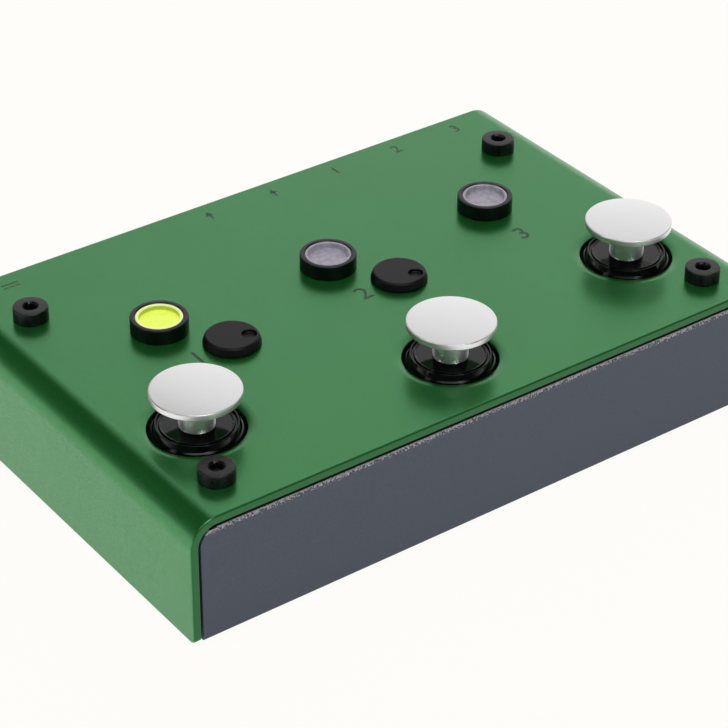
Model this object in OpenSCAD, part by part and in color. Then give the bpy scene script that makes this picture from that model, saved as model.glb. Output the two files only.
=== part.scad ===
// Guitar switcher pedal: a folded steel case with three footswitches, three lamps, two gain knobs,
// five jacks and a power inlet. Lengths are in millimetres, +Z is up and the front faces -Y.
// Inside the modules, heights count from the case's lower edge and places from its middle.

/* [Case] */
// Width of the case, over the cover's side walls
body_w = 172; // [166:1:184]
// Depth of the case, from its front edge to its back edge
body_d = 113; // [108:1:124]
// Height of the case without its feet
body_h = 32.6; // [31.6:0.2:36.6]
// Thickness of the cover's sheet
cover_t = 2; // [1.6:0.1:2.2]
// Outer radius of the cover's two long bends
bend_r = 7; // [5:0.5:9]
// Radius of the lower corners of the cover's side walls
skirt_r = 1.6; // [1:0.2:3]
// Thickness of the chassis sheet
chassis_t = 1.5; // [1.2:0.1:1.8]
// Outer radius of the folds along the chassis floor
fold_r = 0.8; // [0.6:0.1:1.4]
// Inner radius of the folds along the chassis floor
fold_in_r = 0.4; // [0.2:0.1:0.8]
// Outer radius of the folds along the tops of the panels
lip_r = 1.6; // [1.2:0.1:2]
// Depth of the lips folded back along the tops of the panels
lip_d = 6; // [4:0.5:7]
// Gap between the chassis panels and the cover
panel_gap = 0.6; // [0.4:0.1:0.8]

/* [Cover screws] */
// Inset of the screws from the side edges
screw_side = 14.6; // [13:0.2:17]
// Inset of the front screws from the front edge
screw_front = 11.5; // [10.5:0.5:13]
// Inset of the back screws from the back edge
screw_back = 21.2; // [19:0.2:23]
// Thread diameter of the cover screws
screw_d = 5; // [4:0.5:5]
// Length of the cover screws below their heads
screw_l = 10; // [9:0.5:10.5]
// Diameter of the screw heads
screw_head_d = 8.6; // [8.2:0.1:9.4]
// Height of the screw heads
screw_head_h = 3.45; // [3:0.05:4]
// Width across the flats of the hexagon sockets
screw_socket = 3; // [2.5:0.5:4]
// Depth of the hexagon sockets
screw_socket_h = 2; // [1.5:0.1:2.4]
// Width of the chassis tabs that carry the rivet nuts
tab_w = 20; // [16:1:22]
// Reach of a tab past its rivet nut's axis
tab_end = 7; // [6:0.5:8]
// Diameter of the rivet nuts' flanges
rivet_flange_d = 9.4; // [9:0.2:11]
// Diameter of the rivet nuts' barrels
rivet_d = 7; // [6.6:0.2:7.6]
// Diameter of the upset bulge below each tab
rivet_bulge_d = 8.6; // [8:0.2:9.4]
// Height of the upset bulge
rivet_bulge_h = 1.8; // [1.4:0.2:2.4]
// Length of the rivet nuts below their flanges
rivet_l = 9; // [8:0.2:9.2]

/* [Footswitches] */
// Inset of the outer footswitches from the side edges
switch_edge = 22.2; // [21.2:0.2:25]
// Inset of the outer footswitches from the front edge
switch_side_in = 31.1; // [29:0.1:33]
// Inset of the middle footswitch from the front edge
switch_mid_in = 20.2; // [18.6:0.2:23]
// Gap between a switch tower's outside and the edge of its hole in the cover
switch_hole_gap = 0.7; // [0.5:0.1:1.2]
// Width of the chamfer around each footswitch hole
switch_lip = 0.5; // [0.2:0.1:0.8]
// Diameter of the metal caps
cap_d = 21.4; // [19:0.2:23]
// Thickness of a cap at its rim
cap_rim_t = 1.6; // [1.2:0.1:2.2]
// Rise of a cap's domed top above its rim
cap_dome = 0.6; // [0.3:0.1:1]
// Chamfer of a cap's upper and lower edges
cap_edge = 0.25; // [0.1:0.05:0.4]
// Height of a cap's rim above the cover, when it is not pressed
cap_up = 9.9; // [9:0.1:12]
// Diameter of the caps' stems
stem_d = 8.5; // [7:0.1:9]
// Travel of a footswitch
travel = 3; // [2.4:0.1:3.2]
// Outer diameter of the switch towers and their guide bushes
tower_d = 22.6; // [22:0.1:23]
// Wall of a tower, round the plunger's flange
tower_wall = 2.8; // [2.6:0.1:3.1]
// Width of the ledge inside a tower, where the plunger's flange stops
tower_stop_w = 0.9; // [0.7:0.1:1.1]
// Thickness of a tower's floor, where the spring stands
tower_floor = 2.5; // [2:0.1:3]
// Depth of a guide bush below the cover's top, down to its stop face
bush_l = 12.6; // [12:0.1:13]
// Length of a guide bush that sits inside its tower
bush_spigot = 4; // [3:0.2:5]
// Height of a guide bush's rim above the cover
bush_rise = 0.9; // [0.5:0.1:1.4]
// Width of the slope from a guide bush's rim down to its step
bush_slope_w = 0.6; // [0.3:0.1:0.9]
// Width of a guide bush's flat rim
bush_rim_w = 1; // [0.6:0.1:1.6]
// Width of the bevel outside the step
bush_bevel = 1.1; // [0.8:0.1:1.2]
// Depth of the step below the cover's top
bush_step = 0.5; // [0.2:0.1:1]
// Height of the dish round the stem above the cover's top
bush_dish = 0.1; // [-0.2:0.1:0.4]
// Thickness of a plunger's flange
flange_t = 2; // [1.6:0.1:2.4]
// Diameter of a plunger's nose
nose_d = 5; // [4:0.5:6]
// Diameter of a plunger's threaded spigot
spigot_d = 4; // [3:0.5:5]
// Length of a plunger's threaded spigot
spigot_l = 8; // [6:0.5:10]
// Width of the square tactile switches
tact_w = 6; // [5.4:0.1:6.4]
// Gap between a tactile switch's corners and the edge of the opening in its tower's floor
tact_gap = 0.95; // [0.8:0.05:1.4]
// Height of the tactile switches' cases
tact_h = 3.5; // [3:0.1:4]
// Diameter of the tactile switches' buttons
tact_button_d = 3.5; // [3:0.1:4]
// Height of the buttons above the cases
tact_button_h = 0.7; // [0.4:0.1:1]
// Wire diameter of the return springs
spring_wire = 0.8; // [0.6:0.1:0.9]
// Gap between the return springs and the towers' inside
spring_gap = 0.4; // [0.3:0.1:0.7]
// Turns of each return spring
spring_turns = 4; // [3:0.5:4.5]

/* [Lamps] */
// Distance of the outer lamps from the outer footswitches, towards the middle
lamp_dx = 14.55; // [12:0.05:18]
// Place of the lamps' row, as a share of the case's depth from its front edge
lamp_share = 0.615; // [0.58:0.005:0.64]
// Diameter of the lamps' bezels
bezel_d = 14.1; // [13.2:0.1:15]
// Height of the bezels above the cover
bezel_h = 3.95; // [3:0.05:5]
// Chamfer on the outer edge of a bezel
bezel_edge = 0.25; // [0.1:0.05:0.5]
// Width of the chamfer inside a bezel's mouth
bezel_mouth = 0.5; // [0.2:0.1:0.8]
// Diameter of the window recess in a bezel
window_d = 10.9; // [10:0.1:11.4]
// Thread diameter of a bezel's barrel
barrel_d = 12; // [11.6:0.1:12.4]
// Length of a bezel's barrel below the cover's top
barrel_l = 9; // [8:0.2:10]
// Diameter of the bore through a bezel's barrel
barrel_bore_d = 9.2; // [8.6:0.1:9.8]
// Height of the shoulder in a bezel above the cover's top
shoulder_up = 0.2; // [0:0.1:0.6]
// Height of the reflector's rim on that shoulder
reflector_rim = 1.2; // [0.8:0.1:1.4]
// Length of the reflector below that shoulder
reflector_l = 4.2; // [3.6:0.1:5]
// Wall of the reflector at its mouth
reflector_wall = 0.5; // [0.3:0.1:0.8]
// Depth of the lens's rim below the bezel's top
lens_down = 0.6; // [0.4:0.1:0.8]
// Thickness of the lens's floor
lens_floor = 0.9; // [0.6:0.1:1.1]
// Width of the lens's rim
lens_rim = 0.6; // [0.4:0.1:1]
// Width across the flats of the nuts under the cover
lamp_nut_w = 15; // [14:0.5:16]
// Thickness of those nuts
lamp_nut_t = 2.5; // [2:0.1:3]
// Diameter of the light-emitting diodes
led_d = 5; // [4.6:0.1:5.2]
// Height of the diodes with their domes
led_h = 8.6; // [8:0.1:9]
// Diameter of the diodes' flanges
led_flange_d = 5.8; // [5.6:0.1:6.2]
// Thickness of the diodes' flanges
led_flange_t = 1; // [0.8:0.1:1.2]
// Depth of the diodes' tips below the cover's top
led_down = 1.2; // [0.8:0.1:1.6]
// Width of the diodes' square legs
led_leg = 0.5; // [0.4:0.1:0.6]
// Gap between a diode's legs
led_leg_gap = 2.04; // [1.6:0.02:2.4]

/* [Gain knobs] */
// Distance of each knob to the right of its lamp
knob_dx = 10.77; // [9.5:0.01:12.5]
// Place of the knobs' row, as a share of the case's depth from its front edge
knob_share = 0.4836; // [0.46:0.0004:0.5]
// Diameter of the knobs at their base
knob_d = 14.05; // [13:0.05:15]
// Diameter of the flat top of a knob
knob_top_d = 12.1; // [11.8:0.1:12.8]
// Height of a knob's top above the cover
knob_up = 2.35; // [2.1:0.05:3]
// Gap between a knob's skirt and the cover
knob_gap = 0.3; // [0.2:0.05:0.4]
// Height of a knob's straight skirt
knob_skirt = 0.4; // [0.2:0.1:0.8]
// Diameter of a knob's hub, inside the cover's hole
knob_hub_d = 9; // [8:0.1:9.4]
// Length of a knob's hub below the cover's top
knob_hub_l = 4.5; // [4:0.1:6]
// Diameter of the pointer dimple
dimple_d = 3.6; // [3:0.1:3.8]
// Distance of the pointer dimple from the knob's axis
dimple_r = 4.1; // [3.8:0.1:4.1]
// Depth of the pointer dimple
dimple_h = 0.8; // [0.4:0.1:0.9]
// Direction of the first knob's pointer, from +X
pointer_1 = -29; // [-60:1:240]
// Direction of the second knob's pointer, from +X
pointer_2 = -49; // [-60:1:240]
// Diameter of the potentiometer shafts
shaft_d = 6; // [5:0.1:6.2]
// Depth of a shaft's top end below the knob's top
shaft_down = 1.4; // [1.3:0.1:1.7]
// Width of a potentiometer's case
pot_w = 9.8; // [9:0.1:11]
// Depth of a potentiometer's case
pot_d = 11.2; // [10:0.1:12]
// Height of a potentiometer's case
pot_h = 6.8; // [6:0.1:8]
// Diameter of a potentiometer's threaded neck
neck_d = 7.4; // [7:0.1:8]
// Height of a potentiometer's threaded neck
neck_h = 6; // [5:0.5:7]
// Depth of the shaft inside the case
shaft_in = 4; // [3:0.5:5]

/* [Jacks] */
// Inset of the last jack from the right edge, as a share of the case's width
jack_side_share = 0.0977; // [0.093:0.0001:0.104]
// Distance from one jack to the next, as a share of the case's width
jack_pitch_share = 0.1151; // [0.111:0.0001:0.119]
// Height of the jacks' axes above the board
jack_up = 6.5; // [6.3:0.1:6.7]
// Diameter of the jacks' bores, for 6.35 mm plugs
jack_bore_d = 6.5; // [6.45:0.05:6.6]
// Depth of the jacks' bores from their mouths
jack_bore_l = 30; // [28:0.2:30.4]
// Width of the jacks' cases
jack_w = 14.5; // [14:0.1:15]
// Height of the jacks' cases
jack_h = 12.5; // [12:0.1:12.8]
// Length of the jacks' cases behind the panel
jack_l = 23; // [22.6:0.2:25]
// Thread diameter of the jacks' noses
jack_nose_d = 11.4; // [10.6:0.1:12]
// Length of the jacks' noses outside the case
jack_out = 7; // [6:0.1:8]
// Chamfer at a jack's mouth
jack_mouth = 0.5; // [0.3:0.1:0.8]
// Thickness of the jack washers
washer_t = 0.8; // [0.5:0.1:1]
// Outer diameter of the jack washers
washer_d = 16; // [15:0.1:17]
// Width across the flats of the jack nuts
jack_nut_w = 14; // [13:0.5:15]
// Thickness of the jack nuts
jack_nut_t = 3.4; // [2.6:0.1:4]
// Thickness of the jacks' contact blades
blade_t = 0.4; // [0.3:0.1:0.5]
// Length of the blades beside each jack
blade_l = 12; // [10:0.5:14]
// Height of the blades above the board
blade_h = 9; // [8:0.5:10]

/* [Power inlet] */
// Inset of the power inlet from the left edge, as a share of the case's width
dc_side_share = 0.1163; // [0.105:0.0001:0.139]
// Height of the inlet's axis above the board
dc_up = 6.5; // [6:0.1:7]
// Width of the inlet's case
dc_w = 9; // [8.8:0.1:10]
// Height of the inlet's case
dc_h = 11; // [10.8:0.1:11.4]
// Length of the inlet's case behind the panel
dc_l = 13; // [12:0.2:14]
// Diameter of the inlet's nose in the panel
dc_nose_d = 8; // [7.6:0.1:8.6]
// Diameter of the inlet's bore
dc_bore_d = 6.3; // [6:0.1:6.6]
// Depth of the inlet's bore from its mouth
dc_bore_l = 10; // [9:0.2:11]
// Diameter of the inlet's centre pin
dc_pin_d = 2; // [1.9:0.05:2.5]
// Setback of the pin's tip from the mouth
dc_pin_back = 1; // [0.6:0.1:1.6]
// Length of the pin's root, which is held in the case
dc_pin_root = 2; // [1.6:0.1:2.4]
// Diameter of the pin's root
dc_root_d = 3; // [2.6:0.1:3.6]

/* [Board] */
// Height of the posts under the board
post_h = 5; // [4.6:0.1:5.4]
// Thickness of the circuit board
board_t = 1.6; // [1.4:0.1:1.8]
// Gap between the board's edges and the chassis
board_gap = 2.4; // [1.8:0.1:3]
// Diameter of the board posts
post_d = 6; // [5.4:0.1:7]
// Diameter of the plain posts under the switch towers
prop_d = 12; // [10:0.5:16]
// Inset of the screwed posts from the side edges
post_side = 11; // [9:0.5:12]
// Inset of the front posts from the front edge
post_front = 12; // [10:0.5:12.5]
// Distance of the back posts from the jacks' cases
post_back = 6; // [5:0.5:8]
// Thread diameter of the board screws
board_screw_d = 3; // [2.5:0.1:3.2]
// Length of the board screws below their heads
board_screw_l = 5.5; // [5:0.1:6]
// Diameter of the board screws' heads
board_head_d = 5.5; // [5:0.1:6]
// Height of the board screws' heads
board_head_h = 1.8; // [1.4:0.1:2.4]

/* [Board parts] */
// Length, width and height of the relays
relay_l = 15; // [13:0.5:16]
// Width of the relays
relay_w = 7.5; // [7:0.1:9]
// Height of the relays
relay_h = 10; // [8:0.5:12]
// Gap between the relays
relay_gap = 3.5; // [2.5:0.5:4.5]
// Length of the chips
chip_l = 10; // [9:0.5:10.5]
// Width of the chips
chip_w = 6.4; // [6:0.1:6.8]
// Height of the chips
chip_h = 3.4; // [3:0.1:4]
// Gap between the chips of a pair
chip_pair_gap = 2; // [1.5:0.5:4]
// Distance of the first pair of chips to the right of the first potentiometer
chip_dx = 15; // [14:0.2:16]
// Gap between the second pair of chips and the switch tower in front of it
chip_gap = 3; // [2:0.5:4]
// Diameter of the electrolytic capacitors
can_d = 6.3; // [5:0.1:7]
// Height of the electrolytic capacitors
can_h = 11; // [9:0.5:12]
// Gap between the electrolytic capacitors
can_gap = 2.7; // [1.6:0.1:3.1]
// Width and height of the transformer's core
core_w = 18; // [16:0.5:20]
// Thickness of the transformer's core
core_t = 7; // [6:0.5:8]
// Height of the transformer's core
core_h = 15; // [13:0.5:16]
// Width of the transformer's winding
winding_w = 12; // [11:0.5:13]
// Thickness of the transformer's winding, through the core
winding_t = 14; // [12:0.5:15]
// Height of the transformer's winding
winding_h = 9; // [8:0.5:10]
// Width of the voltage regulator
reg_w = 10; // [9:0.5:11]
// Thickness of the regulator's plastic
reg_t = 3.2; // [3:0.1:4]
// Height of the regulator's plastic
reg_h = 9; // [8:0.5:10]
// Thickness of the regulator's metal tab
reg_tab_t = 1.3; // [1:0.1:1.6]
// Height of the regulator's metal tab above its plastic
reg_tab_h = 5; // [4:0.5:5.5]
// Length of the regulator's legs
reg_leg_l = 3; // [2:0.5:3.5]
// Width of the regulator's legs
reg_leg = 0.8; // [0.6:0.1:1]
// Distance of the regulator in front of the jacks' cases
reg_back = 4; // [3.5:0.5:6]

/* [Feet] */
// Thickness of the rubber feet
foot_h = 1; // [0.8:0.1:2]
// Diameter of the rubber feet
foot_d = 12.7; // [10:0.1:16]
// Inset of the feet's centres from the case's edges
foot_in = 14; // [12:0.5:20]

/* [Hidden] */
// Sides of round shapes
$fn = 64;
// Overrun of a cut past the face that it leaves
over = 0.5;
// Radial clearance of a shaft that turns or slides in its bore
run_fit = 0.05;
// Radial clearance of a screw in its thread
thread_fit = 0.05;
// Radial clearance of a screw or nose in a plain hole
hole_fit = 0.2;
// Clearance of a spring's ends, of the plunger at its stops and of its nose over the button
rest_gap = 0.1;
// Radial clearance of the plunger's flange in its tower
flange_fit = 0.4;
// Radial clearance of parts that are pushed into one another
push_fit = 0.03;
// Radial clearance of a knob's hub in the cover
hub_fit = 0.5;
// Points on a cap's dome, from its middle to its rim
dome_steps = 8;
// Rings on each turn and sides of a spring's wire
spring_rings = 8;
spring_sides = 6;
// Numbers of the footswitches, lamps, knobs and jacks
switches = [1, 2, 3];
lamps = [1, 2, 3];
knobs = [1, 2];
jacks = [1, 2, 3, 4, 5];
mid = (len(switches) + 1) / 2;
sides = [-1, 1];

body_y = -jack_out / 2;
front_y = -body_d / 2;
back_y = body_d / 2;
inner_back_y = back_y - chassis_t;
chassis_w = body_w - 2 * (cover_t + panel_gap);
chassis_corner = bend_r - cover_t - panel_gap;
lip_w = chassis_w - 2 * chassis_corner;
panel_h = body_h - cover_t - panel_gap;
board_z = chassis_t + post_h;
board_top = board_z + board_t;
board_w = chassis_w - 2 * board_gap;
board_d = body_d - 2 * (chassis_t + board_gap);
screw_x = body_w / 2 - screw_side;
screw_ys = [front_y + screw_front, back_y - screw_back];
switch_x = body_w / 2 - switch_edge;
switch_hole_d = tower_d + 2 * switch_hole_gap;
tower_bore_d = tower_d - 2 * tower_wall;
tower_well_d = tower_bore_d - 2 * tower_stop_w;
tower_eye_d = tact_w * sqrt(2) + 2 * tact_gap;
bush_step_d = tower_d - 2 * bush_bevel;
bush_rim_d = bush_step_d - 2 * bush_slope_w;
spring_d = tower_well_d - 2 * spring_gap - spring_wire;
tower_top = body_h - bush_l + bush_spigot;
flange_top = body_h - bush_l - rest_gap;
flange_z = flange_top - flange_t;
flange_d = tower_bore_d - 2 * flange_fit;
well_top = flange_z - travel - rest_gap;
nose_z = board_top + tact_h + tact_button_h + travel + rest_gap;
cap_top = body_h + cap_up;
spring_z = board_top + tower_floor + rest_gap;
spring_h = flange_z - rest_gap - spring_z;
spring_rise = spring_h - spring_wire;
lamp_pitch = switch_x - lamp_dx;
lens_top = body_h + bezel_h - lens_down;
reflector_top = body_h + shoulder_up + reflector_rim;
led_z = body_h - led_down - led_h;
knob_top = body_h + knob_up;
shaft_top = knob_top - shaft_down;
shaft_z = board_top + pot_h - shaft_in;
jack_z = board_top + jack_up;
jack_rear_y = inner_back_y - jack_l;
jack_pitch = body_w * jack_pitch_share;
dc_x = body_w * (dc_side_share - 0.5);
dc_z = board_top + dc_up;
post_x = body_w / 2 - post_side;
post_xs = [-post_x, -lamp_pitch / 2, lamp_pitch / 2, post_x];
post_ys = [front_y + post_front, jack_rear_y - post_back];
// Gap between neighbouring turns of a return spring, printed for the builder's notes
echo(turn_gap = spring_rise / spring_turns - spring_wire);

// Places of the pieces that repeat
function switch_at(i) = [(i - mid) * switch_x, front_y + (i == mid ? switch_mid_in : switch_side_in)];
function lamp_at(i) = [(i - mid) * lamp_pitch, front_y + body_d * lamp_share];
function knob_at(i) = [lamp_at(i)[0] + knob_dx, front_y + body_d * knob_share];
function pointer(i) = i == 1 ? pointer_1 : pointer_2;
function jack_x(i) = body_w * (0.5 - jack_side_share) - (len(jacks) - i) * jack_pitch;
// Radius of a hexagon's corners from its width across the flats
function corner_r(flats) = flats / 2 / cos(30);

// Moves a piece from the case's own places to the frame of the whole object
module in_case() {
    translate([0, body_y, foot_h]) children();
}

// Upright outline with its two upper corners rounded
module arch(w, h, r) {
    translate([-w / 2, 0]) square([w, h - r]);
    translate([-w / 2 + r, 0]) square([w - 2 * r, h]);
    for (s = sides) translate([s * (w / 2 - r), h - r]) circle(r);
}

// Upright outline with its two lower corners rounded
module trough(w, h, r) {
    translate([0, h]) mirror([0, 1]) arch(w, h, r);
}

// Extrudes an upright outline along the depth, centred
module along_y(l) {
    rotate([90, 0, 0]) linear_extrude(l, center = true) children();
}

// Extrudes an upright outline along the width, centred
module along_x(l) {
    rotate([90, 0, 90]) linear_extrude(l, center = true) children();
}

// Block that stands on z = 0, centred on its place
module block(w, d, h) {
    translate([-w / 2, -d / 2, 0]) cube([w, d, h]);
}

// Cylinder that lies along +Y from its place
module rod_y(d, l) {
    rotate([-90, 0, 0]) cylinder(d = d, h = l);
}

// Hexagonal nut with a round hole, standing on z = 0
module hex_nut(flats, hole_d, t) {
    difference() {
        cylinder(r = corner_r(flats), h = t, $fn = 6);
        translate([0, 0, -over]) cylinder(d = hole_d, h = t + 2 * over);
    }
}

// Round holes through the cover, with a chamfer at the footswitch holes' upper edges
module cover_holes() {
    cut_z = body_h - cover_t - over;
    cut_h = cover_t + 2 * over;
    for (i = switches) translate(switch_at(i)) {
        translate([0, 0, cut_z]) cylinder(d = switch_hole_d, h = cut_h);
        translate([0, 0, body_h - switch_lip])
            cylinder(d1 = switch_hole_d, d2 = switch_hole_d + 4 * switch_lip, h = 2 * switch_lip);
    }
    for (i = lamps) translate(lamp_at(i))
        translate([0, 0, cut_z]) cylinder(d = barrel_d + 2 * hole_fit, h = cut_h);
    for (i = knobs) translate(knob_at(i))
        translate([0, 0, cut_z]) cylinder(d = knob_hub_d + 2 * hub_fit, h = cut_h);
    for (x = sides * screw_x, y = screw_ys)
        translate([x, y, cut_z]) cylinder(d = screw_d + 2 * hole_fit, h = cut_h);
}

module top_cover() {
    inner_r = bend_r - cover_t;
    color("#5c9a6e") in_case() difference() {
        intersection() {
            along_y(body_d) difference() {
                arch(body_w, body_h, bend_r);
                translate([0, -over]) arch(body_w - 2 * cover_t, body_h - cover_t + over, inner_r);
            }
            along_x(body_w) trough(body_d, body_h, skirt_r);
        }
        cover_holes();
    }
}

// Lips folded back along the tops of the panels, with a tab under each cover screw
module chassis_lips() {
    tab_z = panel_h - chassis_t;
    tab_in = lip_d / 2;
    for (y = [front_y, back_y - lip_d]) translate([-lip_w / 2, y, tab_z])
        cube([lip_w, lip_d, chassis_t]);
    for (x = sides * screw_x) {
        translate([x - tab_w / 2, front_y + tab_in, tab_z])
            cube([tab_w, screw_front + tab_end - tab_in, chassis_t]);
        translate([x - tab_w / 2, back_y - screw_back - tab_end, tab_z])
            cube([tab_w, screw_back + tab_end - tab_in, chassis_t]);
    }
}

module chassis() {
    color("#50565f") in_case() difference() {
        intersection() {
            union() {
                along_x(chassis_w) difference() {
                    trough(body_d, panel_h, fold_r);
                    translate([0, chassis_t])
                        trough(body_d - 2 * chassis_t, panel_h + over, fold_in_r);
                }
                chassis_lips();
            }
            along_y(body_d) arch(chassis_w, panel_h, chassis_corner);
        }
        along_x(lip_w) difference() {
            translate([-body_d / 2 - over, panel_h - lip_r])
                square([body_d + 2 * over, lip_r + over]);
            arch(body_d, panel_h, lip_r);
        }
        for (i = jacks) translate([jack_x(i), inner_back_y - over, jack_z])
            rod_y(jack_nose_d + 2 * hole_fit, chassis_t + 2 * over);
        translate([dc_x, inner_back_y - over, dc_z]) rod_y(dc_nose_d + 2 * hole_fit, chassis_t + 2 * over);
        for (x = sides * screw_x, y = screw_ys)
            translate([x, y, panel_h - chassis_t - over]) cylinder(d = rivet_d, h = chassis_t + 2 * over);
    }
}

module rubber_feet() {
    color("#17171a") in_case() for (sx = sides, sy = sides)
        translate([sx * (body_w / 2 - foot_in), sy * (body_d / 2 - foot_in), -foot_h])
            cylinder(d = foot_d, h = foot_h);
}

// Low-head screw with a hexagon socket, its head's underside at z = 0
module socket_screw() {
    difference() {
        union() {
            cylinder(d = screw_head_d, h = screw_head_h);
            translate([0, 0, -screw_l]) cylinder(d = screw_d, h = screw_l + over);
        }
        translate([0, 0, screw_head_h - screw_socket_h])
            cylinder(r = corner_r(screw_socket), h = screw_socket_h + over, $fn = 6);
    }
}

module cover_screws() {
    color("#1b1b1d") in_case() for (x = sides * screw_x, y = screw_ys)
        translate([x, y, body_h]) socket_screw();
}

// Rivet nut, its flange's underside at z = 0; the cover rests on the flange
module rivet_nut() {
    difference() {
        union() {
            cylinder(d = rivet_flange_d, h = panel_gap);
            translate([0, 0, -rivet_l]) cylinder(d = rivet_d, h = rivet_l + panel_gap / 2);
            translate([0, 0, -chassis_t - rivet_bulge_h]) cylinder(d = rivet_bulge_d, h = rivet_bulge_h);
        }
        translate([0, 0, -rivet_l - over])
            cylinder(d = screw_d + 2 * thread_fit, h = rivet_l + panel_gap + 2 * over);
    }
}

module rivet_nuts() {
    color("#b9bcc0") in_case() for (x = sides * screw_x, y = screw_ys)
        translate([x, y, panel_h]) rivet_nut();
}

// Domed metal cap with its stem, bored from below for the plunger's thread
module foot_cap(i) {
    r = cap_d / 2;
    rim_z = cap_top - cap_rim_t;
    ball_r = (pow(r - cap_edge, 2) + pow(cap_dome, 2)) / (2 * cap_dome);
    dome = [for (k = [0 : dome_steps])
        let (x = (r - cap_edge) * k / dome_steps)
        [x, cap_top + cap_dome - ball_r + sqrt(pow(ball_r, 2) - pow(x, 2))]];
    color("#d9dadb") in_case() translate(switch_at(i)) difference() {
        union() {
            rotate_extrude() polygon(concat(
                [[0, rim_z]], dome,
                [[r, cap_top - cap_edge], [r, rim_z + cap_edge], [r - cap_edge, rim_z]]
            ));
            translate([0, 0, flange_top]) cylinder(d = stem_d, h = rim_z - flange_top + cap_rim_t / 2);
        }
        translate([0, 0, flange_top - over])
            cylinder(d = spigot_d + 2 * push_fit, h = spigot_l + 2 * over);
    }
}

// Plunger under a cap: threaded spigot, stop flange and the nose over the tactile switch
module plunger(i) {
    color("#c9c6b8") in_case() translate(switch_at(i)) {
        translate([0, 0, flange_z]) cylinder(d = flange_d, h = flange_t);
        translate([0, 0, flange_top - flange_t / 2]) cylinder(d = spigot_d, h = spigot_l + flange_t / 2);
        translate([0, 0, nose_z]) cylinder(d = nose_d, h = flange_z - nose_z + flange_t / 2);
    }
}

// Black guide bush with a stepped rim and a dish round the stem
module guide_bush(i) {
    rim_r = bush_rim_d / 2;
    rim_in = rim_r - bush_rim_w;
    rim_z = body_h + bush_rise;
    dish_z = body_h + bush_dish;
    bore_r = stem_d / 2 + run_fit;
    tower_r = tower_d / 2;
    spigot_r = tower_bore_d / 2 - push_fit;
    step_z = body_h - bush_step;
    shoulder_z = step_z - (tower_r - bush_step_d / 2);
    color("#121315") in_case() translate(switch_at(i)) rotate_extrude() polygon([
        [bore_r, body_h - bush_l], [spigot_r, body_h - bush_l],
        [spigot_r, tower_top], [tower_r, tower_top],
        [tower_r, shoulder_z], [bush_step_d / 2, step_z],
        [rim_r, rim_z], [rim_in, rim_z],
        [(rim_in + bore_r) / 2, (rim_z + 3 * dish_z) / 4], [bore_r, dish_z]
    ]);
}

// Round tower on the board; its inner step stops the plunger's flange
module switch_tower(i) {
    color("#1d1e20") in_case() translate(switch_at(i)) difference() {
        translate([0, 0, board_top]) cylinder(d = tower_d, h = tower_top - board_top);
        translate([0, 0, well_top]) cylinder(d = tower_bore_d, h = tower_top - well_top + over);
        translate([0, 0, board_top + tower_floor])
            cylinder(d = tower_well_d, h = well_top - board_top - tower_floor + over);
        translate([0, 0, board_top - over]) cylinder(d = tower_eye_d, h = tower_floor + 2 * over);
    }
}

// Coiled wire about the Z axis from z = 0, as one tube with closed ends
module coil(d, wire, rise, turns) {
    rings = spring_rings * turns;
    lead = atan2(rise, PI * d * turns);
    function spot(k, s) =
        let (a = 360 * k / spring_rings)
        let (b = 360 * s / spring_sides)
        let (out = d / 2 + wire / 2 * cos(b))
        let (up = wire / 2 * sin(b))
        [
            out * cos(a) + up * sin(lead) * sin(a),
            out * sin(a) - up * sin(lead) * cos(a),
            wire / 2 + rise * k / rings + up * cos(lead)
        ];
    points = [for (k = [0 : rings], s = [0 : spring_sides - 1]) spot(k, s)];
    function at(k, s) = k * spring_sides + s % spring_sides;
    walls = [for (k = [0 : rings - 1], s = [0 : spring_sides - 1])
        each [[at(k, s), at(k + 1, s), at(k + 1, s + 1)], [at(k, s), at(k + 1, s + 1), at(k, s + 1)]]];
    ends = [for (s = [1 : spring_sides - 2])
        each [[at(0, 0), at(0, s), at(0, s + 1)], [at(rings, 0), at(rings, s + 1), at(rings, s)]]];
    polyhedron(points, concat(walls, ends));
}

module return_spring(i) {
    color("#aeb1b4") in_case() translate(switch_at(i)) translate([0, 0, spring_z])
        coil(spring_d, spring_wire, spring_rise, spring_turns);
}

module tactile_switches() {
    color("#26272a") in_case() for (i = switches) translate(switch_at(i)) translate([0, 0, board_top]) {
        block(tact_w, tact_w, tact_h);
        translate([0, 0, tact_h / 2]) cylinder(d = tact_button_d, h = tact_h / 2 + tact_button_h);
    }
}

// Black threaded bezel, stepped inside for the window and the reflector
module lamp_bezel(i) {
    r = bezel_d / 2;
    window_r = window_d / 2;
    bore_r = barrel_bore_d / 2;
    top = body_h + bezel_h;
    shoulder = body_h + shoulder_up;
    color("#141416") in_case() translate(lamp_at(i)) rotate_extrude() polygon([
        [bore_r, body_h - barrel_l], [barrel_d / 2, body_h - barrel_l],
        [barrel_d / 2, body_h], [r, body_h],
        [r, top - bezel_edge], [r - bezel_edge, top],
        [window_r + bezel_mouth, top], [window_r, top - bezel_mouth],
        [window_r, shoulder], [bore_r, shoulder]
    ]);
}

// Clear window: a floor with a raised rim
module lamp_lens(i) {
    r = window_d / 2 - push_fit;
    color("#dfe6e4") in_case() translate(lamp_at(i)) rotate_extrude() polygon([
        [0, reflector_top], [r, reflector_top],
        [r, lens_top], [r - lens_rim, lens_top],
        [r - lens_rim, reflector_top + lens_floor], [0, reflector_top + lens_floor]
    ]);
}

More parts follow.
